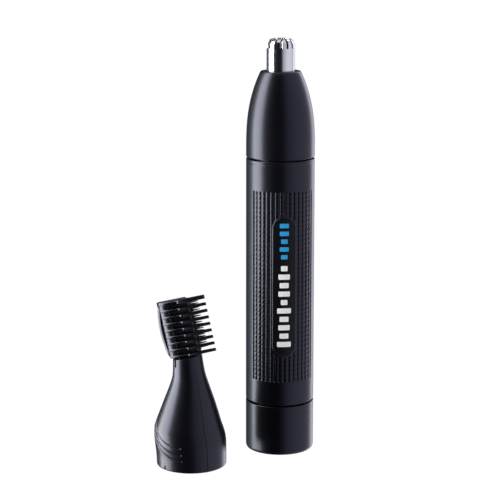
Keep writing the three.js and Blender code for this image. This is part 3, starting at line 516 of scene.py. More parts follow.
def handle_shell():
    columns = []
    for column in range(GRIP_COLUMNS):
        for at, share in CELL:
            columns.append(((column + at) * 360 / GRIP_COLUMNS, share))
    vertices = []
    rows = handle_rows()
    for height, inset, strength, row_share in rows:
        for degrees, column_share in columns:
            angle = math.radians(degrees)
            radius = handle_radius(height) - inset
            x = radius * math.cos(angle)
            depth = max(GROOVE_DEPTH * column_share, ROW_GROOVE_DEPTH * row_share) * strength
            from_badge = abs((degrees + 270) % 360 - 180)
            if min(from_badge, 180 - from_badge) > GRIP_HALF_ANGLE:
                depth = 0
            if math.sin(angle) < 0 and outside_badge(x, height) < 0.2:
                depth = 0
            radius -= depth
            vertices.append((radius * math.cos(angle), radius * math.sin(angle), height))
    bore_heights = [HANDLE_TOP, 60, 21.0, 20.9, 19.1, 19.0, HANDLE_BOTTOM]
    for height in bore_heights:
        for degrees, _ in columns:
            radius = BORE_RADIUS + bayonet_depth(degrees, height)
            angle = math.radians(degrees)
            vertices.append((radius * math.cos(angle), radius * math.sin(angle), height))
    return vertices, band_faces(len(rows) + len(bore_heights), len(columns), closed=True)


def stadium(margin, steps=28):
    """(x, height) points round the badge at a distance from its outline."""
    half = BADGE_HALF + margin
    top, bottom = BADGE_TOP - BADGE_HALF, BADGE_BOTTOM + BADGE_HALF
    points = []
    for start, side, near, far in ((0, -half, top, bottom), (math.pi, half, bottom, top)):
        angles = spread(start, start + math.pi, steps)
        points += [(half * math.cos(a), near + half * math.sin(a)) for a in angles]
        points += [(side, height) for height in spread(near, far, 40)[1:-1]]
    return points


def on_handle(x, height, proud):
    """A point on the front of the handle, standing proud of its surface."""
    radius = handle_radius(height) + proud
    return (x, -math.sqrt(radius * radius - x * x), height)


def badge_frame():
    """The raised ring round the badge. Its section is (distance from the outline, height above the grip)."""
    section = [(-FRAME_WIDTH, -0.12), (-0.4, 0.03), (-0.34, 0.09), (-0.26, 0.12), (-0.18, 0.12),
               (-0.1, 0.09), (-0.02, 0.03), (0.03, -0.03), (0.03, -0.3)]
    vertices = []
    for margin, proud in section:
        vertices += [on_handle(x, height, proud) for x, height in stadium(margin)]
    return vertices, band_faces(len(section), len(vertices) // len(section), closed=True)


def wrapped_plate(bottom, top, half, corner, proud, thickness, columns):
    """A thin plate with rounded corners that follows the front of the handle."""
    ends = [corner * (1 - math.cos(a)) for a in spread(0, math.pi / 2, 10)]
    heights = [bottom + e for e in ends] + [top - e for e in reversed(ends)]
    if top - bottom > 6:
        heights[11:11] = spread(bottom + corner, top - corner, 30)[1:-1]
    outer, inner, faces = [], [], []
    for height in heights:
        from_end = min(height - bottom, top - height, corner)
        reach = half - corner + math.sqrt(max(0, corner * corner - (corner - from_end) ** 2))
        for k in range(columns + 1):
            x = reach * (2 * k / columns - 1)
            outer.append(on_handle(x, height, proud))
            inner.append(on_handle(x, height, proud - thickness))
    width = columns + 1
    for row in range(len(heights) - 1):
        for k in range(columns):
            a = row * width + k
            faces.append([a, a + 1, a + 1 + width, a + width])
    return thickened(outer, inner, faces)


piece("handle_grip", [handle_shell()], "handle", black_plastic, ["handle_shell"], sharp=50)
piece("badge_frame", [badge_frame()], "handle", black_plastic, sharp=60)
FACE_HALF = BADGE_HALF - FRAME_WIDTH + 0.05
face_inset = BADGE_HALF - FACE_HALF
badge_sheet = wrapped_plate(BADGE_BOTTOM + face_inset, BADGE_TOP - face_inset, FACE_HALF, FACE_HALF,
                            proud=0.01, thickness=0.15, columns=32)
piece("badge_face", [badge_sheet], "handle", badge_black, ["label_badge"])

PRINT_PROUD = 0.03
PRINT_THICKNESS = 0.03
BAR_CORNER = 0.28
WHITE_BARS = [4.6, 3.0, 3.8, 3.0, 4.6, 2.2, 3.8, 3.0, 3.8, 2.2]
BLUE_BARS = [2.2, 3.0, 2.2, 3.0, 3.0]


def print_bars(widths, bottom, pitch, height):
    forms = []
    for i, width in enumerate(widths):
        low = bottom + i * pitch
        forms.append(wrapped_plate(low, low + height, width / 2, BAR_CORNER, PRINT_PROUD, PRINT_THICKNESS,
                                   columns=8))
    return forms


white_bars = print_bars(WHITE_BARS, bottom=37.6, pitch=2.85, height=1.75)
blue_bars = print_bars(BLUE_BARS, bottom=67.2, pitch=2.6, height=1.5)
piece("badge_print_white", white_bars, "handle", white_print)
piece("badge_print_blue", blue_bars, "handle", blue_print)

# ---------- neck, screws and drive key ----------

COLLAR = [
    (4.0, 94.6, 0.1), (9.45, 94.6, 0.1), (9.45, 99.07, 0.1), (NECK_RADIUS, 99.07, 0.15),
    (NECK_RADIUS, 102.4, 0.08), (8.3, 102.4, 0.08), (8.3, 103.6, 0.08), (NECK_RADIUS, 103.6, 0.08),
    (NECK_RADIUS, 109.8, 0.2), (8.3, 110.5, 0.2), (7.0, 110.5, 0.2), (7.0, 99.2, 0.2), (8.2, 98.2, 0.2),
    (8.2, 96.2, 0.3), (4.0, 96.2, 0.15),
]
collar = turned(profile(COLLAR, closed=True), 112, closed=True)
neck_key = block([-0.9, 7.9, 100.1], [0.9, 9.2, 108.5])
piece("neck_sleeve", [collar, neck_key], "handle", dark_nylon, ["neck_collar"])
neck_ring = turned(round_section(8.8, 103, 0.4), 96, closed=True)
piece("neck_o_ring", [neck_ring], "handle", rubber, ["neck_ring"])


def slotted_head(radius, bottom, top, slot, depth):
    """A domed screw head: a disc with two raised halves and the driver's slot between them."""
    floor = top - depth
    base = turned(profile([(0, bottom), (radius, bottom, 0.05), (radius, floor, 0.03), (0, floor)]), 48)
    halves = []
    start = math.asin(slot / 2 / radius)
    for turn in (0, math.pi):
        angles = spread(start, math.pi - start, 18)
        outline = [(radius * math.cos(a + turn), radius * math.sin(a + turn)) for a in angles]
        halves.append(prism(outline, floor - 0.02, top))
    return [base, *halves]


for side, label in ((-1, "left"), (1, "right")):
    head = slotted_head(1.3, 96.3, 97.1, 0.4, 0.3)
    shank = turned(profile([(0, 88.6), (0.7, 88.6, 0.1), (0.7, 96.4), (0, 96.4)]), 24)
    forms = [moved(form, Matrix.Translation((side * 6.2, 0, 0))) for form in [*head, shank]]
    piece(f"neck_screw_{label}_slotted", forms, "handle", plain_steel,
          [f"neck_screw_{label}"], bevel=0.06)


def cross_outline(arm, half):
    """A cross of four equal arms, made from one corner turned four times."""
    corner = [(half, arm), (-half, arm), (-half, half)]
    outline = []
    for quarter in range(4):
        c, s = round(math.cos(quarter * math.pi / 2)), round(math.sin(quarter * math.pi / 2))
        outline += [(x * c - y * s, x * s + y * c) for x, y in corner]
    return outline


key_body = turned(profile([(0, 87.6), (2.8, 87.6, 0.2), (2.8, 98.3, 0.4), (0, 98.3)]), 64)
key_bar = prism(cross_outline(2.1, 0.6), 98.0, 105.5)
piece("drive_key", [key_body, key_bar], "drive", white_nylon, ["drive_coupling"],
      bevel=0.12)

# ---------- nose head ----------

OGIVE_START = 103.0
OGIVE_POWER = 2.5


def cover_radius(height):
    along = max(0.0, (height - OGIVE_START) / (COVER_TOP - OGIVE_START))
    return TOP_RADIUS - (TOP_RADIUS - COVER_RIM_RADIUS) * along ** OGIVE_POWER


cover = [(SOCKET_RADIUS, COVER_BOTTOM, 0.1), (TOP_RADIUS, COVER_BOTTOM, 0.22)]
cover += [(cover_radius(h), h) for h in spread(OGIVE_START - 1.5, COVER_TOP - 0.45, 42)]
cover += [(COVER_RIM_RADIUS, COVER_TOP - 0.2), (COVER_RIM_RADIUS - 0.12, COVER_TOP - 0.05)]
cover += [(COVER_RIM_RADIUS - 0.3, COVER_TOP), (COVER_RIM_RADIUS - 0.6, COVER_TOP)]
cover += [(TUBE_RADIUS + 0.15, COVER_TOP, 0.12), (TUBE_RADIUS + 0.15, 122.3), (7.0, 122.3), (7.0, 112.5)]
cover += [(SOCKET_RADIUS, 111.2)]
cover_shell = turned(profile(cover, closed=True), 144, closed=True)
piece("nose_cover_shell", [cover_shell], "nose_head", black_plastic, ["nose_cover"],
      sharp=40)

SLOT_COUNT = 14
SLOT_TURN = 8
SLOT_HALF = 0.27
SLOT_LIP = 0.1
DOME = 2.4
TUBE_WALL = 0.4
HUB_RADIUS = 0.05


def tube_line(wall):
    """Rows down the slotted tube as (radius, height, half width of a slot), shrunk by the wall."""
    flat = TUBE_RADIUS - DOME
    top = TUBE_TOP - wall
    rows = [(0.02, top, 0), (0.8, top, 0), (1.35, top, 0), (1.42, top, 0.14), (1.54, top, 0.23)]
    rows.append((1.7, top, SLOT_HALF))
    for angle in spread(0, math.pi / 2, 10):
        radius = flat + (DOME - wall) * math.sin(angle)
        height = TUBE_TOP - DOME + (DOME - wall) * math.cos(angle)
        rows.append((radius, height, SLOT_HALF))
    side = TUBE_RADIUS - wall
    rows += [(side, 135.75, SLOT_HALF), (side, 135.5, SLOT_HALF), (side, 135.34, 0.23)]
    rows += [(side, 135.22, 0.12), (side, 135.18, 0), (side, 134.6, 0), (side, 128, 0), (side, 122.5, 0)]
    flange = 6.0 - 1.2 * wall
    rows += [(side + 0.1, 122.25 - wall, 0), (flange, 122.2 - wall, 0), (flange, 121.6 - wall / 2, 0)]
    return rows


def slotted_tube(columns=10):
    """The domed tube, made of the teeth between its slots, and the small hub that closes its middle."""
    sheets = []
    for wall in (0, TUBE_WALL):
        sheet = []
        for (radius, height, half), lip in zip(tube_line(wall), tube_line(wall + SLOT_LIP)):
            gap = math.asin(min(1, half / radius)) if half else 0
            for tooth in range(SLOT_COUNT):
                start = math.radians(SLOT_TURN + tooth * 360 / SLOT_COUNT) + gap
                end = math.radians(SLOT_TURN + (tooth + 1) * 360 / SLOT_COUNT) - gap
                inwards = min(SLOT_LIP / radius, 0.2 * (end - start))
                angles = [start, *spread(start + inwards, end - inwards, columns - 2), end]
                for angle in angles:
                    rounded = half and wall == 0 and angle in (start, end)
                    reach_out, level = lip[:2] if rounded else (radius, height)
                    sheet.append((reach_out * math.cos(angle), reach_out * math.sin(angle), level))
        sheets.append(sheet)
    faces = []
    width = SLOT_COUNT * (columns + 1)
    for row in range(len(tube_line(0)) - 1):
        for tooth in range(SLOT_COUNT):
            for k in range(columns):
                a = row * width + tooth * (columns + 1) + k
                faces.append([a, a + 1, a + 1 + width, a + width])
    inside = TUBE_TOP - TUBE_WALL
    hub = turned(profile([(0, TUBE_TOP), (HUB_RADIUS, TUBE_TOP), (HUB_RADIUS, inside), (0, inside)]))
    return [thickened(*sheets, faces), hub]


piece("slotted_cutter", slotted_tube(), "nose_head", polished_steel, ["outer_cutter"],
      sharp=45)

# ---------- eyebrow head: the two half shells ----------

FLASK = [(0, 11.4, 11.75), (4, 11.6, 11.75), (8.5, 12.1, 11.65), (11.5, 12.15, 11.05), (14, 11.75, 10.2),
         (21, 9.15, 8.15), (28, 6.5, 5.8), (32, 5.85, 4.7), (40, 5.85, 3.5)]
FACET_ROOM = 0.07  # the CAD flask has flat facets, which lie a little inside its smooth outline
NECK_CUT = 36.2
PARTING = -61
PARTING_ROOM = 0.06
EYEBROW_WALL = 1.5
FACING = -90  # the way the camera side of the head looks, in its own frame


def spline(points, steps=24):
    """A smooth curve through the points, as closely spaced samples."""
    samples = []
    for i in range(len(points) - 1):
        p0, p1 = Vector(points[max(i - 1, 0)]), Vector(points[i])
        p2, p3 = Vector(points[i + 1]), Vector(points[min(i + 2, len(points) - 1)])
        m1, m2 = (p2 - p0) / 2, (p3 - p1) / 2
        for k in range(steps):
            t = k / steps
            cubic = (2 * p1 - 2 * p2 + m1 + m2) * t ** 3 + (-3 * p1 + 3 * p2 - 2 * m1 - m2) * t ** 2
            samples.append(cubic + m1 * t + p1)
    return samples + [Vector(points[-1])]


LEFT_LINE = spline([(height, left) for height, left, _ in FLASK])
RIGHT_LINE = spline([(height, right) for height, _, right in FLASK])


def reach_at(line, height):
    for a, b in zip(line, line[1:]):
        if height <= b[0]:
            return lerp(a[1], b[1], (height - a[0]) / (b[0] - a[0]))
    return line[-1][1]


def flask_point(degrees, height, inset):
    """A point of the flask's round section at a height. The section's middle shifts as the sides lean."""
    left, right = reach_at(LEFT_LINE, height), reach_at(RIGHT_LINE, height)
    half = (left + right) / 2 - FACET_ROOM - inset
    angle = math.radians(degrees)
    return ((right - left) / 2 + half * math.cos(angle), half * math.sin(angle), height)


def neck_height(degrees, inset):
    """Where the leaning cut meets the wall."""
    height = NECK_CUT
    for _ in range(12):
        x = flask_point(degrees, height, inset)[0]
        height = (NECK_CUT + x * math.sin(BLADE_TILT)) / math.cos(BLADE_TILT)
    return height


GROOVES = (8.5, 6.15, 4.1)
GROOVE_WIDTH = 0.5
GROOVE_SINK = 0.32
GROOVE_START = 12  # degrees to the left of the way the head faces
GROOVE_LENGTH = 90  # degrees
GROOVE_BEND = 0.00138
MM_PER_DEGREE = 0.19
NOTCHES = (-137, 43)
NOTCH_HALF = 1.6  # degrees
NOTCH_HEIGHT = 1.6
NOTCH_DEPTH = 1.7
NECK_SLOT = -143.5
NECK_SLOT_HALF = 4.6  # degrees
NECK_SLOT_HEIGHT = 2.4
NECK_SLOT_DEPTH = 1.4


def in_notch(degrees):
    return any(abs(wrap_angle(degrees - notch)) < NOTCH_HALF for notch in NOTCHES)


def sunk(degrees, height, top):
    """How far the outside is cut in: the three curved grooves, the rim notches and the neck's slot."""
    depth = 0.0
    turn = wrap_angle(degrees - FACING)
    along = -GROOVE_START - turn
    if 0 <= along <= GROOVE_LENGTH:
        fade = min(1, along / 3, (GROOVE_LENGTH - along) / 3)
        slope = 2 * GROOVE_BEND * along / MM_PER_DEGREE
        for start in GROOVES:
            away = abs(height - start - GROOVE_BEND * along ** 2) / math.hypot(1, slope)
            share = max(0.0, 1 - away / (GROOVE_WIDTH / 2))
            depth = max(depth, GROOVE_SINK * fade * min(1, 1.6 * share))
    if in_notch(degrees) and height < NOTCH_HEIGHT:
        depth = NOTCH_DEPTH
    if abs(wrap_angle(degrees - NECK_SLOT)) < NECK_SLOT_HALF and height > top - NECK_SLOT_HEIGHT:
        depth = NECK_SLOT_DEPTH
    return depth


def nudge(point, first, at_start, at_end):
    """Moves the two parting faces back by half the joint's gap."""
    if not (at_start or at_end):
        return point
    normal = math.radians(first + 90)
    x, y, z = point
    return (x + PARTING_ROOM * math.cos(normal), y + PARTING_ROOM * math.sin(normal), z)


def half_shell(first, rows_low, columns):
    """Half of the flask from one side of the parting plane to the other, closed all round."""
    angles = set(round(a, 3) for a in spread(first, first + 180, columns))
    cut_edges = [(notch, half) for notch in NOTCHES for half in (NOTCH_HALF - 0.1, NOTCH_HALF + 0.15)]
    cut_edges += [(NECK_SLOT, NECK_SLOT_HALF - 0.2), (NECK_SLOT, NECK_SLOT_HALF + 0.2)]
    for centre, half in cut_edges:
        for degrees in (centre - half, centre + half):
            angles.add(round(first + (degrees - first) % 360, 3))
    angles |= {first + 0.45, first + 179.55}
    angles = sorted(a for a in angles if first <= a <= first + 180)
    edge_rows = [(0, 0.28), (0.08, 0.11), (0.28, 0)]
    heights = [(h, i) for h, i in edge_rows] + [(h, 0) for h in rows_low]
    upper = [(t, 0) for t in spread(0, 1, 16)[1:-1]] + [(0.965, 0), (0.99, 0.06), (1.0, 0.2)]
    split = rows_low[-1]
    vertices = []
    inner_rows = [(0, SOCKET_RADIUS), (13.4, SOCKET_RADIUS), (13.6, None), (21, None), (28, None),
                  (math.inf, None)]
    count = len(angles)
    outer_rows = len(heights) + len(upper)
    for row in range(outer_rows):
        for k, degrees in enumerate(angles):
            top = neck_height(degrees, 0)
            if row < len(heights):
                height, inset = heights[row]
            else:
                t, inset = upper[row - len(heights)]
                height = lerp(split, top, t)
            if row >= len(edge_rows):
                inset += sunk(degrees, height, top)
            elif in_notch(degrees):
                inset = NOTCH_DEPTH
            if k in (0, count - 1):
                inset += PARTING_ROOM
            vertices.append(nudge(flask_point(degrees, height, inset), first, k == 0, k == count - 1))
    for height, radius in reversed(inner_rows):
        for k, degrees in enumerate(angles):
            if radius:
                angle = math.radians(degrees)
                point = (radius * math.cos(angle), radius * math.sin(angle), height)
            else:
                level = min(height, neck_height(degrees, EYEBROW_WALL))
                point = flask_point(degrees, level, EYEBROW_WALL)
            vertices.append(nudge(point, first, k == 0, k == count - 1))
    total = outer_rows + len(inner_rows)
    faces = []
    for row in range(total):
        low, high = row * count, (row + 1) % total * count
        for k in range(count - 1):
            faces.append([low + k, low + k + 1, high + k + 1, high + k])
    faces.append([row * count for row in range(total)])
    faces.append([row * count + count - 1 for row in range(total)][::-1])
    return vertices, faces


fine_rows = spread(0.5, 1.5, 3) + [1.58, 1.66] + spread(1.8, 20.2, 140) + spread(21, 30, 12)
coarse_rows = spread(0.5, 1.5, 2) + [1.58, 1.66] + spread(2.2, 30, 40)
piece("eyebrow_half_left", [half_shell(PARTING - 180, fine_rows, 170)], "eyebrow_head",
      black_plastic, ["eyebrow_shell_left"], place=EYEBROW, sharp=38)
piece("eyebrow_half_right", [half_shell(PARTING, coarse_rows, 96)], "eyebrow_head",
      black_plastic, ["eyebrow_shell_right"], place=EYEBROW, sharp=38)

# ---------- eyebrow head: blades and their holder ----------

BLADE_BOTTOM = 37.2
BLADE_TOP = 54.0
HOLDER_BOTTOM = 36.4
SCREWS = (BLADE_BOTTOM + 3.2, BLADE_TOP - 3.2)
SCREW_PLACE = 5.7
GUIDE_BOTTOM = 27.2
GUIDE_TOP = 30.1


def toothed(left, root, tip, bottom, top, pitch):
    """A blade's outline, with a row of blunt teeth along its right side."""
    outline = [(left, bottom), (root, bottom)]
    count = int((top - bottom) / pitch)
    start = (top + bottom - count * pitch) / 2
    for i in range(count):
        low = start + i * pitch
        outline += [(root, low + 0.14 * pitch), (tip, low + 0.38 * pitch), (tip, low + 0.62 * pitch),
                    (root, low + 0.86 * pitch)]
    return outline + [(root, top), (left, top)]


TOOTH_PITCH = 0.7
fixed = plate(toothed(4.4, 11.5, 13.8, BLADE_BOTTOM, BLADE_TOP, TOOTH_PITCH), 0.1, 0.6)
piece("fixed_blade_ground", [fixed], "eyebrow_head", ground_steel, ["fixed_blade"],
      place=BLADES, bevel=0.04)
tang = block([6.4, -0.6, 34.3], [8.2, -0.1, BLADE_BOTTOM + 1])
moving = plate(toothed(6.6, 11.4, 13.4, BLADE_BOTTOM + 0.4, BLADE_TOP - 0.6, TOOTH_PITCH), -0.6, -0.1)
piece("moving_blade_ground", [moving, tang], "trimming_blade", ground_steel,
      ["moving_blade"], place=BLADES, bevel=0.04)

tongue = block([3.8, 0.7, HOLDER_BOTTOM], [11.2, 1.95, BLADE_TOP])
wall = block([3.8, -0.6, HOLDER_BOTTOM], [4.3, 1, BLADE_TOP])
stem = block([4.8, 1.15, GUIDE_BOTTOM], [8.9, 1.95, BLADE_BOTTOM])
guide = block([5.2, -1.6, GUIDE_BOTTOM], [6.15, 1.95, GUIDE_TOP])
guide_right = block([8.45, -1.6, GUIDE_BOTTOM], [8.9, 1.95, GUIDE_TOP])
ribs = [block([9.0, 1.9, s], [11.0, 2.05, s + 0.6]) for s in spread(38.5, 52.5, 7)]
piece("blade_holder_back", [tongue, wall, stem, guide, guide_right, *ribs], "eyebrow_head",
      dark_nylon, ["blade_carrier"], place=BLADES, bevel=0.14)

face = softened([(3.8, -0.7), (3.8, -1.6), (4.3, -1.9), (10.2, -1.9), (10.8, -1.3), (10.8, -0.7)])
lip = block([3.8, -1.9, HOLDER_BOTTOM], [10.8, -0.7, HOLDER_BOTTOM + 0.9])
piece("blade_holder_front", [prism(face, HOLDER_BOTTOM, BLADE_TOP), lip], "eyebrow_head",
      dark_nylon, ["blade_cover"], place=BLADES, bevel=0.16)

for label, level in (("lower", SCREWS[0]), ("upper", SCREWS[1])):
    lying = Matrix.Translation((SCREW_PLACE, 0, level)) @ Matrix.Rotation(math.radians(90), 4, "X")
    shank = turned(profile([(0, -1.5), (0.6, -1.5, 0.1), (0.6, 2.0), (0, 2.0)]), 24)
    head = slotted_head(1.2, 1.9, 2.15, 0.3, 0.15)
    flip = Matrix.Rotation(math.radians(180), 4, "X")
    forms = [moved(form, lying @ flip) for form in [shank, *head]]
    piece(f"blade_screw_{label}_slotted", forms, "eyebrow_head", plain_steel,
          [f"blade_screw_{label}"], place=BLADES, bevel=0.04)

ROD_PLACE = 7.3
SPRING_BOTTOM = 20.52  # just above the rod's foot
SPRING_TOP = GUIDE_BOTTOM - 0.1
spring_place = BLADES @ Matrix.Translation((ROD_PLACE, 0, 0))
return_coil = piece("return_coil", [coil(1.45, 0.4, SPRING_BOTTOM, SPRING_TOP, 4)], "eyebrow_head",
                    plain_steel, ["return_spring"], place=spring_place)
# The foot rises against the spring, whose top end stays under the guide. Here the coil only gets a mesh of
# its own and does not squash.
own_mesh(return_coil)

# ---------- comb guide ----------

RIBS = 9
RIB_PITCH = 2.22
RIB_THICKNESS = 1.0
TOP_RIB_EXTRA = 0.35
RIB_ROUNDING = 0.42
FIRST_RIB = 37.0
COMB_BOTTOM = FIRST_RIB - RIB_THICKNESS / 2
COMB_TOP = FIRST_RIB + (RIBS - 1) * RIB_PITCH + RIB_THICKNESS / 2
BACK_FRONT = 2.3
BACK_REAR = 3.1
BACK_RIGHT = 9.6
TOP_SLOPE = math.tan(math.radians(7))
SLOPE_START = -1.0

# Along one rib, from the closed side round the raised crease to the tip: its front and its back.
RIB_LINE = [
    ((0.95, -1.05), (1.75, -0.7)), ((1.15, -1.55), (1.95, -0.95)), ((1.6, -2.05), (2.3, -1.35)),
    ((2.3, -2.65), (2.9, -1.85)), ((3.2, -3.2), (3.5, -2.15)), ((4.4, -3.58), (4.5, -2.35)),
    ((5.8, -3.74), (5.8, -2.42)), ((7.15, -3.76), (7.2, -2.45)), ((7.4, -3.93), (7.45, -2.45)),
    ((7.65, -4.18), (7.7, -2.45)), ((7.95, -4.3), (7.95, -2.45)), ((8.25, -4.2), (8.2, -2.45)),
    ((8.65, -3.98), (8.6, -2.45)), ((10.5, -3.78), (10.5, -2.5)), ((13.4, -3.55), (13.4, -2.55)),
    ((15.8, -3.36), (15.8, -2.6)), ((16.2, -3.22), (16.15, -2.72)), ((16.4, -3.0), (16.35, -2.92)),
]


def comb_rib(bottom, top):
    """One rib, with its front edge rounded over its whole thickness."""
    middle, half = (bottom + top) / 2, (top - bottom) / 2
    sections = []
    for front, back in RIB_LINE:
        front, back = Vector(front), Vector(back)
        way = (front - back).normalized()
        rounding = min(RIB_ROUNDING, 0.6 * (front - back).length)
        centre = front - way * rounding
        section = [(*back, middle - half + 0.06), (*(back + way * 0.06), middle - half)]
        for angle in spread(-math.pi / 2, math.pi / 2, 8):
            point = centre + way * (rounding * math.cos(angle))
            section.append((*point, middle + half * math.sin(angle)))
        section += [(*(back + way * 0.06), middle + half), (*back, middle + half - 0.06)]
        sections.append(section)
    return lofted(sections)


def bowed_edge(along):
    """Where the free edge of the back wall lies: it bows outwards between its two ends."""
    bottom, centre, top = 0.15, -0.8, 0.65
    bend = 2 * (bottom + top - 2 * centre)
    return bottom + (top - bottom - bend) * along + bend * along * along


def bowed_back():
    """The back wall. Its free edge is sloped to face the front and left."""
    sections = []
    top = COMB_TOP - (BACK_FRONT - SLOPE_START) * TOP_SLOPE
    for along in spread(0, 1, 24):
        edge = bowed_edge(along)
        height = lerp(COMB_BOTTOM, COMB_TOP, along)
        outline = [(edge + 0.1, BACK_REAR), (edge, BACK_REAR - 0.1), (edge + 0.06, BACK_REAR - 0.22),
                   (edge + 0.66, BACK_FRONT + 0.06), (edge + 0.8, BACK_FRONT), (BACK_RIGHT, BACK_FRONT),
                   (BACK_RIGHT, BACK_REAR)]
        sections.append([(x, y, min(height, top)) for x, y in outline])
    return lofted(sections)


def sloped_top(outline, thickness):
    """A plate on the comb's top, lower towards the back."""
    vertices, faces = prism(outline, COMB_TOP - thickness, COMB_TOP)
    count = len(outline)
    lowered = [(x, y, z - max(0, y - SLOPE_START) * TOP_SLOPE) for x, y, z in vertices[count:]]
    return vertices[:count] + lowered, faces


CLOSED_SIDE = [(1.2, -1.4), (1.9, -0.9), (1.2, 2.9), (0.1, 2.9), (0.35, 0.8)]
BOTTOM_END = [(1.2, -1.4), (2.2, -2.5), (3.6, -2.6), (3.6, 2.5), (0.3, 2.9)]
FRONT_RAIL = [(1.2, -1.4), (1.6, -1.9), (2.2, -2.35), (3.0, -2.75), (3.9, -3.0), (3.9, -2.6), (2.6, -1.7),
              (1.75, -0.7), (1.0, -0.8)]
TOP_FRONT = [(0.95, SLOPE_START), (1.2, -1.4), (2.2, -2.5), (4.6, -3.5), (7.9, -3.9), (11.0, -3.6),
             (10.55, SLOPE_START)]
TOP_BACK = [(0.95, SLOPE_START), (10.55, SLOPE_START), (BACK_RIGHT, BACK_REAR), (1.3, BACK_REAR), (0.85, 2.7)]
comb_forms = []
for i in range(RIBS):
    low = FIRST_RIB + i * RIB_PITCH - RIB_THICKNESS / 2
    extra = TOP_RIB_EXTRA if i == RIBS - 1 else 0
    comb_forms.append(comb_rib(low, low + RIB_THICKNESS + extra))
comb_forms += [
    prism(FRONT_RAIL, COMB_BOTTOM, COMB_TOP), bowed_back(),
    prism(BOTTOM_END, COMB_BOTTOM, COMB_BOTTOM + 1.2), prism(CLOSED_SIDE, COMB_TOP - 1.6, COMB_TOP - 0.5),
    sloped_top(TOP_FRONT, 0.9), sloped_top(TOP_BACK, 1.2),
]
piece("comb_ribs", comb_forms, "comb", gloss_plastic, ["comb_guide"], place=BLADES,
      bevel=0.09, sharp=40)

# ---------- CAD nodes that stay ----------

STAYING = [
    (dark_nylon, ["chassis", "cutter_retainer", "drive_plate"]),
    (white_nylon, ["motor_end_bell", "cutter_cup", "slant_cam", "push_rod"]),
    (brass, ["motor_terminal_left", "motor_terminal_right", "positive_contact", "negative_strip"]),
    (brass, ["cutter_bush"]),
    (plain_steel, ["motor_can", "cutter_spring"]),
    (polished_steel, ["motor_shaft", "cutter_shaft"]),
    # The inner cutter takes the darkened steel: painted shade seen through the slots.
    (rotor_steel_painted_shade, ["inner_cutter"]),
]
for look, names in STAYING:
    for name in names:
        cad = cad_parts[name]
        if not cad.material_slots:
            cad.data.materials.append(look)
        for slot in cad.material_slots:
            slot.material = look

# ---------- camera ----------

VIEW_TURN = math.radians(-6)  # the camera stands a little to the left of the badge
VIEW_PITCH = math.radians(11.565)
VIEW_DISTANCE = 533.1
VIEW_HEIGHT = 176.985
VIEW_ASIDE = 9.88
LENS = 117.0

scene = bpy.context.scene
right = Vector((math.cos(VIEW_TURN), math.sin(VIEW_TURN), 0))
ahead = Vector((-math.sin(VIEW_TURN), math.cos(VIEW_TURN), 0))
eye = bpy.data.cameras.new("camera")
eye.sensor_width = 36
eye.lens = LENS
eye.clip_start = 0.01
eye.clip_end = 100
camera = bpy.data.objects.new("camera", eye)
camera.location = (-right * VIEW_ASIDE - ahead * VIEW_DISTANCE + Vector((0, 0, VIEW_HEIGHT))) * MM
camera.rotation_euler = (math.radians(90) - VIEW_PITCH, 0, VIEW_TURN)
scene.collection.objects.link(camera)
scene.camera = camera

# ---------- floor ----------

FLOOR_REACH = 30  # metres
corners = [(x * FLOOR_REACH, y * FLOOR_REACH, 0) for x, y in ((-1, -1), (1, -1), (1, 1), (-1, 1))]
floor_mesh = bpy.data.meshes.new("floor")
floor_mesh.from_pydata(corners, [], [(0, 1, 2, 3)])
floor = bpy.data.objects.new("floor", floor_mesh)
scene.collection.objects.link(floor)
paper = bpy.data.materials.new("white paper sweep")
paper.use_nodes = True
set_inputs(paper.node_tree.nodes["Principled BSDF"], Base_Color=(0.03, 0.03, 0.03, 1), Roughness=0.9,
           Specular_IOR_Level=0, Emission_Color=(1, 1, 1, 1), Emission_Strength=1.0)
floor_mesh.materials.append(paper)
floor.visible_glossy = False
floor.visible_shadow = False

# ---------- lights ----------

# Brightness round the horizon by direction, in degrees to the right of the camera side, with its tone:
# below the horizon a white sweep runs behind the object, and above it the room behind is dark.
CAMERA_SIDE = [
    (-70, 0.3, "white"), (-60, 0.04, "cool"), (-30, 0.01, "cool"), (2, 0.015, "cool"), (11, 0.1, "cool"),
    (20, 0.5, "white"), (36, 0.68, "white"), (48, 0.85, "white"), (60, 0.93, "white"), (84, 0.92, "white"),
    (100, 0.84, "white"), (118, 0.75, "white"),
]
LOWER_SURROUNDINGS = [
    (-180, 0.4, "white"), (-168, 0.2, "white"), (-158, 0.1, "cool"), (-144, 0.1, "cool"),
    (-130, 0.3, "cool"), (-116, 0.55, "cool"), (-100, 0.6, "white"), *CAMERA_SIDE, (126, 0.9, "white"),
    (131, 3.1, "white"), (147, 3.3, "white"), (153, 1.0, "white"), (168, 0.45, "white"), (180, 0.4, "white"),
]
UPPER_SURROUNDINGS = [
    (-180, 0.06, "cool"), (-144, 0.08, "cool"), (-130, 0.3, "cool"), (-116, 0.5, "cool"),
    (-100, 0.5, "white"), *CAMERA_SIDE, (126, 1.0, "white"), (131, 3.6, "white"), (147, 3.6, "white"),
    (153, 1.2, "white"), (161, 0.1, "cool"), (180, 0.06, "cool"),
]
TONES = {"white": (0.94, 0.95, 1.06), "cool": (0.85, 0.92, 1.3)}
HORIZON_BLEND = (1, 7)  # degrees of elevation
ZENITH_BLEND = (52, 66)
ZENITH = (0.9, 0.9, 0.9, 1)
BACKDROP = (1.05, 1.05, 1.05, 1)

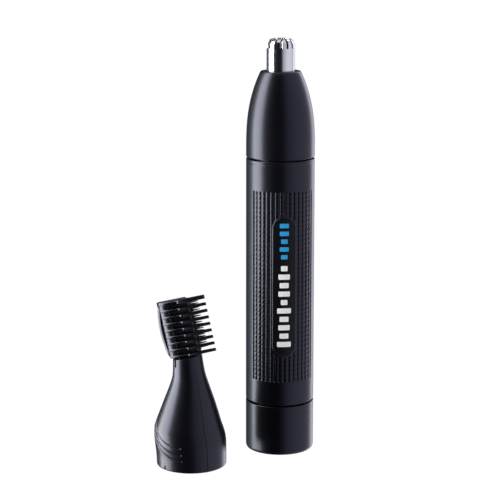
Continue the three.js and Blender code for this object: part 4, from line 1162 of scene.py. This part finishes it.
world = bpy.data.worlds.new("studio")
scene.world = world
world.use_nodes = True
tree = world.node_tree
tree.nodes.clear()
link = tree.links.new
way = node(tree, "TexCoord")
split = node(tree, "SeparateXYZ")
link(way.outputs["Generated"], split.inputs[0])
behind = node(tree, "Math")
behind.operation = "MULTIPLY"
behind.inputs[1].default_value = -1
link(split.outputs["Y"], behind.inputs[0])
bearing = node(tree, "Math")
bearing.operation = "ARCTAN2"
link(split.outputs["X"], bearing.inputs[0])
link(behind.outputs[0], bearing.inputs[1])
share = node(tree, "MapRange", From_Min=-math.pi + VIEW_TURN, From_Max=math.pi + VIEW_TURN)
share.clamp = False
link(bearing.outputs[0], share.inputs[0])
around = node(tree, "Math")
around.operation = "FRACT"
link(share.outputs[0], around.inputs[0])


def ring_of_light(stops):
    """The colour of each direction round the horizon."""
    ramp = node(tree, "ValToRGB")
    link(around.outputs[0], ramp.inputs[0])
    made = ramp.color_ramp.elements
    while len(made) < len(stops):
        made.new(0.5)
    for stop, (degrees, strength, tone) in zip(made, stops):
        stop.position = (degrees + 180) / 360
        stop.color = (*(strength * c for c in TONES[tone]), 1)
    return ramp.outputs[0]


def above(elevations):
    """0 below the first elevation, 1 above the second."""
    low, high = (math.sin(math.radians(elevation)) for elevation in elevations)
    made = node(tree, "MapRange", From_Min=low, From_Max=high)
    made.interpolation_type = "SMOOTHSTEP"
    link(split.outputs["Z"], made.inputs[0])
    return made.outputs[0]


lower, upper = ring_of_light(LOWER_SURROUNDINGS), ring_of_light(UPPER_SURROUNDINGS)
room = colour_mix(tree, above(HORIZON_BLEND), lower, upper)
room = colour_mix(tree, above(ZENITH_BLEND), room, ZENITH)
ray = node(tree, "LightPath")
seen = colour_mix(tree, ray.outputs["Is Camera Ray"], room, BACKDROP)
glow = node(tree, "Background")
link(seen, glow.inputs["Color"])
out = node(tree, "OutputWorld")
link(glow.outputs[0], out.inputs[0])

KEY_DISTANCE = 150
KEY_TOWARDS_CAMERA = 17.5
KEY_WIDTH = 107
KEY_TOP = 325
KEY_BOTTOM = -53
KEY_RADIANCE = 10.5
key_light = bpy.data.lights.new("key panel", "AREA")
key_light.shape = "RECTANGLE"
key_light.size = KEY_WIDTH * MM
key_light.size_y = (KEY_TOP - KEY_BOTTOM) * MM
key_light.energy = KEY_RADIANCE * math.pi * key_light.size * key_light.size_y
key_light.color = (0.95, 0.985, 0.9)
panel = bpy.data.objects.new("key panel", key_light)
panel.location = (-right * KEY_DISTANCE - ahead * KEY_TOWARDS_CAMERA
                  + Vector((0, 0, (KEY_TOP + KEY_BOTTOM) / 2))) * MM
panel.rotation_euler = right.to_track_quat("-Z", "Y").to_euler()
panel.visible_camera = False
scene.collection.objects.link(panel)

scene.view_settings.view_transform = "Standard"
scene.view_settings.look = "None"
